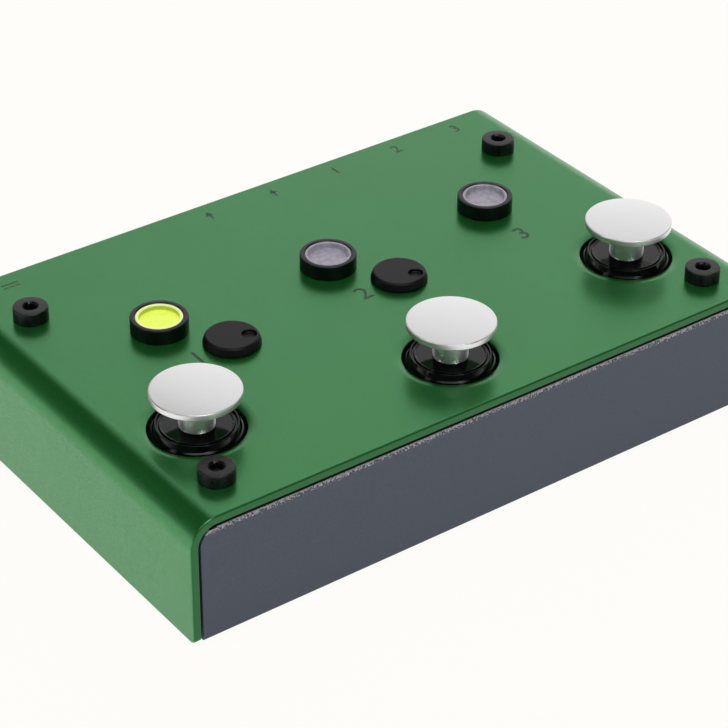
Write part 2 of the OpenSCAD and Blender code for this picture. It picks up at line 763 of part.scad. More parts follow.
// Bright conical cups under the windows
module lamp_reflectors() {
    rim_r = window_d / 2 - push_fit;
    tube_r = barrel_bore_d / 2 - push_fit;
    shoulder = body_h + shoulder_up;
    eye_r = led_d / 2 + push_fit;
    color("#c8cacc") in_case() for (i = lamps) translate(lamp_at(i)) rotate_extrude() polygon([
        [eye_r, shoulder - reflector_l], [tube_r, shoulder - reflector_l],
        [tube_r, shoulder], [rim_r, shoulder],
        [rim_r, reflector_top], [rim_r - reflector_wall, reflector_top],
        [eye_r, shoulder - reflector_l / 2]
    ]);
}

// Light-emitting diode with its two legs down to the board
module lamp_led(i) {
    color(i == 1 ? "#e6ff5a" : "#e9eef0") in_case() translate(lamp_at(i)) {
        translate([0, 0, led_z]) cylinder(d = led_flange_d, h = led_flange_t);
        translate([0, 0, led_z]) cylinder(d = led_d, h = led_h - led_d / 2);
        translate([0, 0, led_z + led_h - led_d / 2]) sphere(d = led_d);
        for (s = sides) translate([s * (led_leg_gap + led_leg) / 2, 0, board_top])
            block(led_leg, led_leg, led_z - board_top + led_flange_t / 2);
    }
}

module lamp_nuts() {
    color("#c2c4c7") in_case() for (i = lamps) translate(lamp_at(i))
        translate([0, 0, body_h - cover_t - lamp_nut_t]) hex_nut(lamp_nut_w, barrel_d + 2 * thread_fit, lamp_nut_t);
}

// Low black knob with a hub in the cover's hole and a dimple that points
module gain_knob(i) {
    color("#2a2a2d") in_case() translate(knob_at(i)) difference() {
        union() {
            rotate_extrude() polygon([
                [0, body_h + knob_gap], [knob_d / 2, body_h + knob_gap],
                [knob_d / 2, body_h + knob_gap + knob_skirt],
                [(knob_d + knob_top_d) / 4, knob_top - knob_skirt / 2],
                [knob_top_d / 2, knob_top], [0, knob_top]
            ]);
            translate([0, 0, body_h - knob_hub_l]) cylinder(d = knob_hub_d, h = knob_hub_l + knob_up / 2);
        }
        translate([0, 0, body_h - knob_hub_l - over])
            cylinder(d = shaft_d + 2 * push_fit, h = shaft_top - body_h + knob_hub_l + over + push_fit);
        rotate(pointer(i)) translate([dimple_r, 0, knob_top - dimple_h]) cylinder(d = dimple_d, h = dimple_h + over);
    }
}

module pot_shaft(i) {
    color("#c9cbcd") in_case() translate(knob_at(i))
        translate([0, 0, shaft_z]) cylinder(d = shaft_d, h = shaft_top - shaft_z);
}

// Potentiometer case with the threaded neck that holds its shaft
module pot_case(i) {
    color("#3f6f8f") in_case() translate(knob_at(i)) difference() {
        union() {
            translate([0, 0, board_top]) block(pot_w, pot_d, pot_h);
            translate([0, 0, board_top + pot_h / 2]) cylinder(d = neck_d, h = pot_h / 2 + neck_h);
        }
        translate([0, 0, shaft_z - run_fit])
            cylinder(d = shaft_d + 2 * run_fit, h = shaft_in + neck_h + run_fit + over);
    }
}

// Closed plug socket with a threaded nose through the back panel
module jack_socket(i) {
    mouth_y = back_y + jack_out;
    mouth_r = jack_bore_d / 2;
    color("#1a1b1e") in_case() translate([jack_x(i), 0, jack_z]) difference() {
        union() {
            translate([-jack_w / 2, jack_rear_y, -jack_up]) cube([jack_w, jack_l, jack_h]);
            translate([0, inner_back_y - over, 0]) rod_y(jack_nose_d, mouth_y - inner_back_y + over);
        }
        translate([0, mouth_y - jack_bore_l, 0]) rod_y(jack_bore_d, jack_bore_l + over);
        translate([0, mouth_y - jack_mouth, 0]) rotate([-90, 0, 0])
            cylinder(r1 = mouth_r, r2 = mouth_r + 2 * jack_mouth, h = 2 * jack_mouth);
    }
}

module jack_washers() {
    color("#a9acb0") in_case() for (i = jacks) translate([jack_x(i), back_y, jack_z]) difference() {
        rod_y(washer_d, washer_t);
        translate([0, -over, 0]) rod_y(jack_nose_d + 2 * hole_fit, washer_t + 2 * over);
    }
}

module jack_nuts() {
    color("#b4b7ba") in_case() for (i = jacks)
        translate([jack_x(i), back_y + washer_t, jack_z]) rotate([-90, 0, 0])
            hex_nut(jack_nut_w, jack_nose_d + 2 * thread_fit, jack_nut_t);
}

// Three contact blades for each jack, from the board up its sides and its rear
module jack_blades() {
    side_x = jack_w / 2 + blade_t / 2;
    color("#c8b06a") in_case() for (i = jacks) translate([jack_x(i), jack_rear_y, board_top]) {
        for (s = sides) translate([s * side_x, blade_l, 0]) block(blade_t, blade_l, blade_h);
        translate([0, -blade_t / 2, 0]) block(jack_w / 2, blade_t, blade_h);
    }
}

// Power inlet on the board, its nose flush in the back panel
module power_inlet() {
    color("#1a1b1e") in_case() translate([dc_x, 0, dc_z]) difference() {
        union() {
            translate([-dc_w / 2, inner_back_y - dc_l, -dc_up]) cube([dc_w, dc_l, dc_h]);
            translate([0, inner_back_y - over, 0]) rod_y(dc_nose_d, chassis_t + over);
        }
        translate([0, back_y - dc_bore_l, 0]) rod_y(dc_bore_d, dc_bore_l + over);
        translate([0, back_y - dc_bore_l - dc_pin_root, 0])
            rod_y(dc_root_d + 2 * push_fit, dc_pin_root + over);
    }
}

// Centre pin with a thicker root in the inlet's case
module power_pin() {
    pin_y = back_y - dc_bore_l - dc_pin_root;
    color("#c9cbcd") in_case() translate([dc_x, pin_y, dc_z]) {
        rod_y(dc_root_d, dc_pin_root);
        rod_y(dc_pin_d, dc_bore_l + dc_pin_root - dc_pin_back);
    }
}

module main_board() {
    color("#2f7a46") in_case() difference() {
        translate([0, 0, board_z]) block(board_w, board_d, board_t);
        for (x = post_xs, y = post_ys) translate([x, y, board_z - over])
            cylinder(d = board_screw_d + 2 * hole_fit, h = board_t + 2 * over);
    }
}

// Screwed posts, and a plain one under each switch tower
module board_posts() {
    color("#b9bcc0") in_case() {
        for (x = post_xs, y = post_ys) translate([x, y, chassis_t]) difference() {
            cylinder(d = post_d, h = post_h);
            translate([0, 0, post_h + board_t - board_screw_l])
                cylinder(d = board_screw_d + 2 * thread_fit, h = board_screw_l + over);
        }
        for (i = switches) translate(switch_at(i))
            translate([0, 0, chassis_t]) cylinder(d = prop_d, h = post_h);
    }
}

module board_screws() {
    color("#c5c7ca") in_case() for (x = post_xs, y = post_ys) translate([x, y, board_top]) {
        cylinder(d = board_head_d, h = board_head_h);
        translate([0, 0, -board_screw_l]) cylinder(d = board_screw_d, h = board_screw_l + board_head_h / 2);
    }
}

// Relays in a row from the knobs forward, midway between the last two footswitches
module relays() {
    row_x = (switch_at(mid)[0] + switch_at(mid + 1)[0]) / 2;
    color("#e8e6df") in_case() for (k = [0 : len(switches) - 1])
        translate([row_x, knob_at(mid)[1] - k * (relay_w + relay_gap), board_top]) block(relay_l, relay_w, relay_h);
}

// Two pairs of chips: beside the first potentiometer and behind the last footswitch
module chips() {
    last = switch_at(mid + 1);
    pairs = [
        [knob_at(1)[0] + pot_w / 2 + chip_dx, knob_at(1)[1]],
        [last[0], last[1] + tower_d / 2 + chip_gap + chip_l / 2]
    ];
    color("#222326") in_case() for (at = pairs, k = [0, 1])
        translate([at[0], at[1] + k * (chip_l + chip_pair_gap), board_top]) block(chip_w, chip_l, chip_h);
}

// Electrolytic capacitors in a grid between the first two footswitches
module capacitors() {
    grid_x = (switch_at(1)[0] + switch_at(mid)[0]) / 2;
    pitch = can_d + can_gap;
    color("#2b3a63") in_case() for (c = [-1, 0, 1], k = [0, 1])
        translate([grid_x + c * pitch, switch_at(1)[1] - k * pitch, board_top])
            cylinder(d = can_d, h = can_h);
}

// Place of the output transformer, left of the first jack
function transformer_at() = [jack_x(1) - jack_w - core_w / 2, inner_back_y - winding_t, board_top];

module transformer_core() {
    color("#8b8d90") in_case() translate(transformer_at()) difference() {
        block(core_w, core_t, core_h);
        translate([0, 0, (core_h - winding_h) / 2]) block(winding_w, core_t + 2 * over, winding_h);
    }
}

module transformer_winding() {
    color("#b8863a") in_case() translate(transformer_at()) translate([0, 0, (core_h - winding_h) / 2])
        block(winding_w, winding_t, winding_h);
}

// Voltage regulator that stands on its legs beside the power inlet
module regulator() {
    color("#2b2c2f") in_case() translate([dc_x + reg_w, jack_rear_y - reg_back, board_top]) {
        translate([0, 0, reg_leg_l]) block(reg_w, reg_t, reg_h);
        translate([0, reg_t / 2, reg_leg_l]) block(reg_w, reg_tab_t, reg_h + reg_tab_h);
        for (k = [-1, 0, 1]) translate([k * reg_w / 4, 0, 0])
            block(reg_leg, reg_leg, reg_leg_l + over);
    }
}

top_cover();
chassis();
rubber_feet();
cover_screws();
rivet_nuts();
foot_cap(1);  // foot_cap_1
foot_cap(2);  // foot_cap_2
foot_cap(3);  // foot_cap_3
plunger(1);  // plunger_1
plunger(2);  // plunger_2
plunger(3);  // plunger_3
guide_bush(1);  // guide_bush_1
guide_bush(2);  // guide_bush_2
guide_bush(3);  // guide_bush_3
switch_tower(1);  // switch_tower_1
switch_tower(2);  // switch_tower_2
switch_tower(3);  // switch_tower_3
return_spring(1);  // return_spring_1
return_spring(2);  // return_spring_2
return_spring(3);  // return_spring_3
tactile_switches();
lamp_bezel(1);  // lamp_bezel_1
lamp_bezel(2);  // lamp_bezel_2
lamp_bezel(3);  // lamp_bezel_3
lamp_lens(1);  // lamp_lens_1
lamp_lens(2);  // lamp_lens_2
lamp_lens(3);  // lamp_lens_3
lamp_led(1);  // lamp_led_1
lamp_led(2);  // lamp_led_2
lamp_led(3);  // lamp_led_3
lamp_reflectors();
lamp_nuts();
gain_knob(1);  // gain_knob_1
gain_knob(2);  // gain_knob_2
pot_shaft(1);  // pot_shaft_1
pot_shaft(2);  // pot_shaft_2
pot_case(1);  // pot_case_1
pot_case(2);  // pot_case_2
jack_socket(1);  // jack_socket_1
jack_socket(2);  // jack_socket_2
jack_socket(3);  // jack_socket_3
jack_socket(4);  // jack_socket_4
jack_socket(5);  // jack_socket_5
jack_nuts();
jack_washers();
jack_blades();
power_inlet();
power_pin();
main_board();
board_posts();
board_screws();
relays();
chips();
capacitors();
transformer_core();
transformer_winding();
regulator();
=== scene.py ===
"""Looks of a guitar switcher pedal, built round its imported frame: a folded green cover on a dark chassis."""
import logging
import math
from dataclasses import dataclass, field, replace
from enum import Enum

import bmesh
import bpy
from mathutils import Matrix, Vector


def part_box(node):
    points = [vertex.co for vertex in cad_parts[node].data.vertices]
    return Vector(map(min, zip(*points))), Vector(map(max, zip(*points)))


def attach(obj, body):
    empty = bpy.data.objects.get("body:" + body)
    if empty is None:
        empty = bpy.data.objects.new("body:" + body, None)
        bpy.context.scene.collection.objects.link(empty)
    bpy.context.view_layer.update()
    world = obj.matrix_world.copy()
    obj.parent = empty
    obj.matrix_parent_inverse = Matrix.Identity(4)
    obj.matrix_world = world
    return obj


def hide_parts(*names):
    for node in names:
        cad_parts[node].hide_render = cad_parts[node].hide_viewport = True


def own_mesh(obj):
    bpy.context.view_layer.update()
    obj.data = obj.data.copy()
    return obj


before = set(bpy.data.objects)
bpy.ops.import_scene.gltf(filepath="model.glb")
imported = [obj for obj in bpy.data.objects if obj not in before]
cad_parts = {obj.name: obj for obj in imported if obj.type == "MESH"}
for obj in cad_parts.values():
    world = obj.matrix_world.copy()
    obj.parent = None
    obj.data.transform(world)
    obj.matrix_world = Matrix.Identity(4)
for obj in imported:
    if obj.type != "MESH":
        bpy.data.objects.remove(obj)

log = logging.getLogger("pedal")
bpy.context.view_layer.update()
COVER_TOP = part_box("top_cover")[1].z
MM = 0.001
WELD = 1e-7
LATHE_STEPS = 96
SHARP = math.radians(42)
STEEP = math.radians(60)
QUARTER = math.pi / 2
SWITCHES = (1, 2, 3)
KNOBS = (1, 2)
JACKS = (1, 2, 3, 4, 5)
SIDES = (-1, 1)
Mesh = bmesh.types.BMesh
Node = bpy.types.Node
Tree = bpy.types.NodeTree
Socket = bpy.types.NodeSocket
Outline = list[tuple[float, ...]]


def linear(colour: str) -> tuple[float, float, float, float]:
    """Turns an sRGB hex colour into linear light.

    Args:
        colour: Six hex digits after a hash sign.

    Returns:
        Red, green, blue and an alpha of 1.
    """
    parts = [int(colour[k:k + 2], 16) / 255 for k in (1, 3, 5)]
    red, green, blue = (p / 12.92 if p <= 0.04045 else ((p + 0.055) / 1.055) ** 2.4 for p in parts)
    return red, green, blue, 1.0


def add_node(
    tree: Tree, kind: str, settings: dict | None = None, links: dict | None = None
) -> Node:
    """Adds a node to a material or world.

    Args:
        tree: Node tree that gets the node.
        kind: Type name of the node, without the prefix that all of them share.
        settings: Values of its own properties, or of its inputs by name or number.
        links: Output sockets that feed its inputs, by name or number.

    Returns:
        The new node.
    """
    node = tree.nodes.new("ShaderNode" + kind)
    for key, value in (settings or {}).items():
        if isinstance(key, str) and hasattr(node, key):
            setattr(node, key, value)
        else:
            node.inputs[key].default_value = value
    for key, socket in (links or {}).items():
        tree.links.new(socket, node.inputs[key])
    return node


def grey(texture: Node) -> Socket:
    """Returns the socket of a texture's grey value."""
    return texture.outputs["Factor" if "Factor" in texture.outputs else "Fac"]


def backdrop_seen(tree: Tree, low: Socket | None = None) -> Socket:
    """Finds the rays that see the white backdrop.

    Args:
        tree: Nodes of the floor or of the world.
        low: Share of the glossy rays that see it; without it they all do.

    Returns:
        Socket that is 1 for rays from the camera, through clear parts and in gloss.
    """
    light = add_node(tree, "LightPath")
    seen = light.outputs["Is Glossy Ray"]
    if low:
        seen = add_node(tree, "Math", {"operation": "MULTIPLY"}, {0: low, 1: seen}).outputs[0]
    for ray in ("Is Camera Ray", "Is Transmission Ray"):
        seen = add_node(
            tree, "Math", {"operation": "MAXIMUM"}, {0: light.outputs[ray], 1: seen}
        ).outputs[0]
    return seen


class Pattern(Enum):
    """What the fine structure of a surface looks like."""

    GRAIN = "grain"
    TURNED = "turned"
    STRIPES = "stripes"
    CELLS = "cells"


@dataclass(frozen=True)
class Finish:
    """Surface of one real material.

    Attributes:
        name: Name of the material and of how its surface was made.
        tone: Main colour.
        fleck: Colour of its specks, rings or stripes.
        metallic: 1 for bare metal, 0 for plastic and paint.
        rough: Roughness of the smoothest and of the dullest spots.
        pitch: Size of the fine structure in millimetres.
        depth: Height of its relief in millimetres.
        pattern: Kind of the fine structure.
        sockets: Values that are the same all over the surface.
    """

    name: str
    tone: str
    fleck: str
    metallic: float = 0.0
    rough: tuple[float, float] = (0.4, 0.5)
    pitch: float = 0.5
    depth: float = 0.01
    pattern: Pattern = Pattern.GRAIN
    sockets: dict = field(default_factory=dict)

    def structure(self, tree: Tree, place: Socket) -> Socket:
        """Builds the fine structure.

        Args:
            tree: The material's nodes.
            place: Coordinates in metres, from the piece's own middle.

        Returns:
            Socket that runs from 0 to 1 over the structure.
        """
        scale = 1 / (self.pitch * MM)
        if self.pattern is Pattern.CELLS:
            node = add_node(tree, "TexVoronoi", {"Scale": scale}, {"Vector": place})
            return node.outputs["Distance"]
        if self.pattern is Pattern.TURNED:
            flat = add_node(tree, "VectorMath", {"operation": "MULTIPLY", 1: (1, 1, 0)}, {0: place})
            radius = add_node(tree, "VectorMath", {"operation": "LENGTH"}, {0: flat.outputs[0]})
            node = add_node(
                tree, "TexNoise", {"noise_dimensions": "1D", "Scale": scale, "Detail": 2.0},
                {"W": radius.outputs["Value"]},
            )
            return grey(node)
        if self.pattern is Pattern.STRIPES:
            node = add_node(
                tree, "TexWave", {"Scale": scale / 6.3, "Distortion": 0.6, "Detail Scale": 3.0},
                {"Vector": place},
            )
            return grey(node)
        node = add_node(tree, "TexNoise", {"Scale": scale, "Detail": 3.0}, {"Vector": place})
        return grey(node)

    def colour(
        self, tree: Tree, place: Socket, structure: Socket
    ) -> Socket:
        """Mixes the main colour and the flecks.

        Args:
            tree: The material's nodes.
            place: Coordinates in metres; not used here.
            structure: The fine structure, from 0 to 1.

        Returns:
            Socket of the colour.
        """
        share = add_node(
            tree, "MapRange", {"From Min": 0.4, "From Max": 0.75, "To Max": 1.0}, {"Value": structure}
        )
        return self.mixed(tree, share.outputs[0])

    def mixed(self, tree: Tree, share: Socket) -> Socket:
        """Mixes the fleck's colour into the main one by its share."""
        colours = {"data_type": "RGBA", 6: linear(self.tone), 7: linear(self.fleck)}
        return add_node(tree, "Mix", colours, {0: share}).outputs[2]

    def build(self, centre: Vector | None = None) -> bpy.types.Material:
        """Makes the material.

        Args:
            centre: Middle of a turned piece, in metres.

        Returns:
            The material, the same one for the same middle.
        """
        name = self.name if centre is None else f"{self.name} {centre.x / MM:.0f} {centre.y / MM:.0f}"
        if name in bpy.data.materials:
            return bpy.data.materials[name]
        material = bpy.data.materials.new(name)
        material.use_nodes = True
        tree = material.node_tree
        shader = tree.nodes["Principled BSDF"]
        coordinates = add_node(tree, "TexCoord")
        middle = centre or Vector((0, 0, 0))
        shift_back = {"Location": (-middle.x, -middle.y, 0)}
        place = add_node(tree, "Mapping", shift_back, {0: coordinates.outputs["Object"]}).outputs[0]
        structure = self.structure(tree, place)
        smooth, dull = self.rough
        rough = add_node(
            tree, "MapRange", {"From Min": 0.3, "From Max": 0.7, "To Min": smooth, "To Max": dull},
            {"Value": structure},
        )
        relief = {"Distance": self.depth * MM, "Strength": 1.0}
        bump = add_node(tree, "Bump", relief, {"Height": structure})
        tree.links.new(self.colour(tree, place, structure), shader.inputs["Base Color"])
        tree.links.new(rough.outputs[0], shader.inputs["Roughness"])
        tree.links.new(bump.outputs[0], shader.inputs["Normal"])
        shader.inputs["Metallic"].default_value = self.metallic
        for key, value in self.sockets.items():
            shader.inputs[key].default_value = value
        self.finish(tree, shader, place)
        return material

    def finish(self, tree: Tree, shader: Node, place: Socket) -> None:
        """Adds nothing more; a special finish has its own version."""


@dataclass(frozen=True)
class Lacquer(Finish):
    """Metallic lacquer: metal flakes, coloured by the fleck, in a pigment of the main colour.

    Attributes:
        cloud: Width in millimetres of the areas with more or fewer flakes.
        drift: How much those areas add to the structure.
        share: Level of the structure at which flakes and pigment meet.
        blend: How far below and above that level they mix.
    """

    cloud: float = 22.0
    drift: float = 0.02
    share: float = 0.5
    blend: tuple[float, float] = (0.03, 0.05)

    def colour(
        self, tree: Tree, place: Socket, structure: Socket
    ) -> Socket:
        """Sorts the surface into flakes and pigment.

        Args:
            tree: The material's nodes.
            place: Coordinates in metres.
            structure: The flakes, from 0 to 1.

        Returns:
            Socket of the colour.
        """
        clouds = add_node(
            tree, "TexNoise", {"Scale": 1 / (self.cloud * MM), "Detail": 2.0}, {"Vector": place}
        )
        drifted = add_node(
            tree, "Math", {"operation": "MULTIPLY_ADD", 1: self.drift}, {0: clouds.outputs[0], 2: structure}
        )
        below, above = self.blend
        flakes = add_node(
            tree, "MapRange", {"From Min": self.share - below, "From Max": self.share + above},
            {"Value": drifted.outputs[0]},
        )
        tree.links.new(flakes.outputs[0], tree.nodes["Principled BSDF"].inputs["Metallic"])
        return self.mixed(tree, flakes.outputs[0])


@dataclass(frozen=True)
class PaintedEdgeLightCoat(Finish):
    """Textured coat with painted highlight specks along one upper edge, where light catches its fold, under a
    painted shadow line.

    Attributes:
        edge: Height of that edge in metres.
        shade: Width of the painted shadow line in metres.
        reach: Width of the painted highlight band and the painted shadow line together, in metres.
        bright: Colour of the painted highlight specks.
        dark: Colour of the painted shadow line.
        speck: Size of the painted highlight specks in millimetres.
        highlight_lift: How much the band adds to the specks at its top.
        painted_glint: Level at which a speck begins to take the painted highlight, and at which it has it
            fully.
        strongest: Greatest share of the painted highlight colour.
    """

    edge: float = 0.031
    shade: float = 0.0005
    reach: float = 0.002
    bright: str = "#d0c8d0"
    dark: str = "#050706"
    speck: float = 0.4
    highlight_lift: float = 0.42
    painted_glint: tuple[float, float] = (0.74, 0.9)
    strongest: float = 0.95

    def colour(
        self, tree: Tree, place: Socket, structure: Socket
    ) -> Socket:
        """Adds the painted highlight specks and the painted shadow line to the mixed colours.

        Args:
            tree: The material's nodes.
            place: Coordinates in metres.
            structure: The texture, from 0 to 1.

        Returns:
            Socket of the colour.
        """
        plain = super().colour(tree, place, structure)
        height = add_node(tree, "SeparateXYZ", None, {0: place}).outputs["Z"]
        line = self.edge - self.shade
        band = add_node(
            tree, "MapRange", {"From Min": self.edge - self.reach, "From Max": line, "To Max": self.highlight_lift},
            {"Value": height},
        )
        # Painted highlight: specks that stand for light caught on the fold, densest at the top of the band
        speck_noise = {"Scale": 1 / (self.speck * MM), "Detail": 1.0}
        specks = add_node(tree, "TexNoise", speck_noise, {"Vector": place})
        lit_specks = add_node(
            tree, "Math", {"operation": "ADD"}, {0: specks.outputs[0], 1: band.outputs[0]}
        )
        start, end = self.painted_glint
        painted_glint = add_node(
            tree, "MapRange", {"From Min": start, "From Max": end, "To Max": self.strongest},
            {"Value": lit_specks.outputs[0]},
        )
        mix = add_node(
            tree, "Mix", {"data_type": "RGBA", 7: linear(self.bright)}, {0: painted_glint.outputs[0], 6: plain}
        )
        # Painted shadow: the line just under the edge is darkened
        shaded = add_node(
            tree, "MapRange", {"From Min": line, "From Max": self.edge - 0.8 * self.shade},
            {"Value": height},
        )
        return add_node(
            tree, "Mix", {"data_type": "RGBA", 7: linear(self.dark)},
            {0: shaded.outputs[0], 6: mix.outputs[2]},
        ).outputs[2]


@dataclass(frozen=True)
class Glow(Finish):
    """Plastic cup that is lit from below: its floor is bright, its wall dim and its rim pale.

    Attributes:
        light: Colour of the light on the floor.
        wall: Colour of the light on the inner wall.
        rim: Colour of the light on the rim.
        strength: Strength of the light.
        low: Height of the floor in metres.
        high: Height of the rim in metres.
    """

    light: str = "#e6fb52"
    wall: str = "#8f9a24"
    rim: str = "#e9f0a8"
    strength: float = 0.8
    low: float = 0.0359
    high: float = 0.03735

    def finish(self, tree: Tree, shader: Node, place: Socket) -> None:
        """Adds the light.

        Args:
            tree: The material's nodes.
            shader: Its surface shader.
            place: Coordinates in metres.
        """
        parts = add_node(tree, "SeparateXYZ", None, {0: place})
        share = add_node(
            tree, "MapRange", {"From Min": self.low, "From Max": self.high}, {"Value": parts.outputs["Z"]}
        )
        ramp = add_node(tree, "ValToRGB", None, {0: share.outputs[0]})
        elements = ramp.color_ramp.elements
        steps = ((0.05, self.light), (0.3, self.wall), (0.75, self.wall), (0.95, self.rim))
        for k, (height, colour) in enumerate(steps):
            element = elements[k] if k < 2 else elements.new(height)
            element.position, element.color = height, linear(colour)
        tree.links.new(ramp.outputs[0], shader.inputs["Emission Color"])
        shader.inputs["Emission Strength"].default_value = self.strength


# Metallic green lacquer on sheet steel: sprayed, so it mirrors softly and darkens where the sky is dark
GREEN_LACQUER = Lacquer(
    "sprayed metallic lacquer", "#056812", "#5baa6e", rough=(0.24, 0.3), pitch=0.06, depth=0.0003
)
# The same lacquer on the faces that look front and back, the sheet's cut edges: fewer flakes, duller and
# darker
EDGE_LACQUER = Lacquer(
    "lacquered cut edge", "#085a18", "#2c7a48", rough=(0.34, 0.44), pitch=0.06, depth=0.0004, share=0.53
)
# Textured powder coat on the chassis: dull blue-grey with a fine grain, with painted highlight specks along
# the panels' top edge and a painted shadow line under the cover's edge
POWDER_COAT = PaintedEdgeLightCoat(
    "textured powder coat", "#454c5b", "#505869", metallic=0.25, rough=(0.42, 0.6), pitch=0.45, depth=0.012
)
# Moulded rubber: matt black with dust in its pores
RUBBER = Finish("moulded rubber", "#1c1c1e", "#2a2a2c", rough=(0.75, 0.9), pitch=0.4, depth=0.02)
# Black oxide on steel: dark grey-violet with a soft sheen
BLACK_OXIDE = Finish(
    "black oxide steel", "#040305", "#1f1b22", rough=(0.25, 0.48), pitch=0.7, depth=0.05,
    sockets={"Specular IOR Level": 0.55},
)
# Zinc plating: pale, slightly blue, softly mottled
ZINC = Finish(
    "zinc plated steel", "#c3c7cc", "#aeb3ba", metallic=1.0, rough=(0.3, 0.42), pitch=0.8, depth=0.004
)
# Bead-blasted and anodised aluminium: an even satin that spreads the light widely
BLASTED_ALUMINIUM = Finish(
    "bead-blasted aluminium", "#fbfafa", "#f4f2f5", metallic=0.9, rough=(0.3, 0.36), pitch=0.12, depth=0.0012
)
# Injection moulded ABS, polished: deep black that mirrors clearly
GLOSS_ABS = Finish(
    "polished black ABS", "#040606", "#0a0c0b", rough=(0.05, 0.11), pitch=2.5, depth=0.006,
    sockets={"Specular IOR Level": 0.36},
)
# Black anodised lamp bezel: dark, fine turning rings
BLACK_ANODISED = Finish(
    "black anodised aluminium", "#030305", "#0a090d", rough=(0.3, 0.4), pitch=0.2, depth=0.0015,
    pattern=Pattern.TURNED,
)
# Moulded glass-filled nylon: black with a fine eggshell grain
BLACK_NYLON = Finish("moulded black nylon", "#111215", "#1a1b1f", rough=(0.45, 0.6), pitch=0.3, depth=0.008)
# Moulded knob, spark-eroded tool: even dark grey satin
KNOB_PLASTIC = Finish(
    "satin knob plastic", "#070609", "#0e0c12", rough=(0.36, 0.44), pitch=0.22, depth=0.004,
    sockets={"Specular IOR Level": 0.28},
)
# Clear moulded acrylic with a prismatic underside: it sparkles where its cells catch light
ACRYLIC = Finish(
    "prismatic clear acrylic", "#ddd7e6", "#cbc4d5", rough=(0.08, 0.2), pitch=1.3, depth=0.05,
    pattern=Pattern.CELLS, sockets={"Transmission Weight": 0.2, "IOR": 1.49},
)
# The same acrylic over a lit diode
LIT_ACRYLIC = Glow(
    "lit acrylic", "#8d9850", "#7d8843", rough=(0.1, 0.2), pitch=0.9, depth=0.05, pattern=Pattern.CELLS
)
# Epoxy body of a diode that is off: clear with a faint haze
LED_EPOXY = Finish(
    "clear epoxy", "#dfe2ea", "#cfd3de", rough=(0.05, 0.1), pitch=1.5, depth=0.002,
    sockets={"Transmission Weight": 0.7, "IOR": 1.53},
)
# Vacuum metallised reflector: bright and slightly uneven
METALLISED = Finish(
    "metallised plastic", "#d8dade", "#c4c6cc", metallic=1.0, rough=(0.15, 0.25), pitch=0.7, depth=0.01
)
# Nickel plated pin and shafts, turned
NICKEL = Finish(
    "turned nickel plating", "#cfcfcc", "#bdbdb8", metallic=1.0, rough=(0.18, 0.28), pitch=0.15, depth=0.001,
    pattern=Pattern.TURNED,
)
# Screen printed ink: dark green-black, thin enough to dull with the paint's grain
INK = Finish("screen printed ink", "#2c4a33", "#335239", rough=(0.4, 0.5), pitch=0.3, depth=0.002)
# Acetal plungers: ivory, slightly waxy
ACETAL = Finish("turned acetal", "#d8d4c4", "#cbc6b4", rough=(0.35, 0.45), pitch=0.3, depth=0.003)
# Spring wire: drawn, bright, with lines along it
SPRING_WIRE = Finish(
    "drawn spring steel", "#b5b8bc", "#989ba0", metallic=1.0, rough=(0.2, 0.32), pitch=0.3, depth=0.003
)
# Blue moulded potentiometer body
POT_PLASTIC = Finish("blue moulded plastic", "#3f6f8f", "#386583", rough=(0.45, 0.55), pitch=0.4, depth=0.006)
# Tinned brass contacts: yellow with duller spots
BRASS = Finish("stamped brass", "#c8b06a", "#a8904e", metallic=1.0, rough=(0.25, 0.4), pitch=0.9, depth=0.004)
# Solder mask over copper tracks: raised paler cells on glossy green
SOLDER_MASK = Finish(
    "green solder mask", "#1f6b38", "#3a8a4e", rough=(0.25, 0.4), pitch=3.2, depth=0.035,
    pattern=Pattern.CELLS,
)
# Off-white relay covers: moulded, a little yellowed
RELAY_PLASTIC = Finish(
    "cream moulded plastic", "#e8e6df", "#dad7cc", rough=(0.4, 0.5), pitch=0.5, depth=0.005
)
# Laminated core: thin steel sheets seen edge on
CORE_STEEL = Finish(
    "laminated core steel", "#8b8d90", "#5b5d61", metallic=0.9, rough=(0.35, 0.5), pitch=0.5, depth=0.03,
    pattern=Pattern.STRIPES,
)
# Enamelled copper wire in close turns
WINDING = Finish(
    "enamelled copper winding", "#b8763a", "#8a5226", metallic=0.8, rough=(0.25, 0.4), pitch=0.4, depth=0.08,
    pattern=Pattern.STRIPES,
)
# Shrunk sleeve of the electrolytic capacitors: blue, glossy, faintly wrinkled
SLEEVE = Finish("shrunk blue sleeve", "#2b3a63", "#34467a", rough=(0.2, 0.35), pitch=1.2, depth=0.015)


@dataclass(frozen=True)
class Corner:
    """Corner of an outline in millimetres, with the radius that rounds it."""

    x: float
    z: float
    fillet: float = 0.0


def draw_outline(bm: Mesh, corners: Outline, closed: bool, steps: int = 5) -> None:
    """Draws an upright outline in the XZ plane and rounds its corners.

    Args:
        bm: Mesh that gets the outline.
        corners: The corners in order, each as X, Z and, where it is rounded, the radius.
        closed: Whether the last corner joins the first.
        steps: Segments of each rounding.
    """
    rounded = [Corner(*corner) for corner in corners]
    spots = [Vector((corner.x, 0, corner.z)) * MM for corner in rounded]
    verts = [bm.verts.new(spot) for spot in spots]
    for start, end in zip(verts, verts[1:]):
        bm.edges.new((start, end))
    if closed:
        bm.edges.new((verts[-1], verts[0]))
    for k, corner in enumerate(rounded):
        if corner.fillet:
            before, after = spots[k - 1] - spots[k], spots[(k + 1) % len(spots)] - spots[k]
            offset = corner.fillet * MM / math.tan(before.angle(after) / 2)
            bmesh.ops.bevel(
                bm, geom=[verts[k]], offset=offset, offset_type="OFFSET", segments=steps, profile=0.5,
                affect="VERTICES", material=-1,
            )


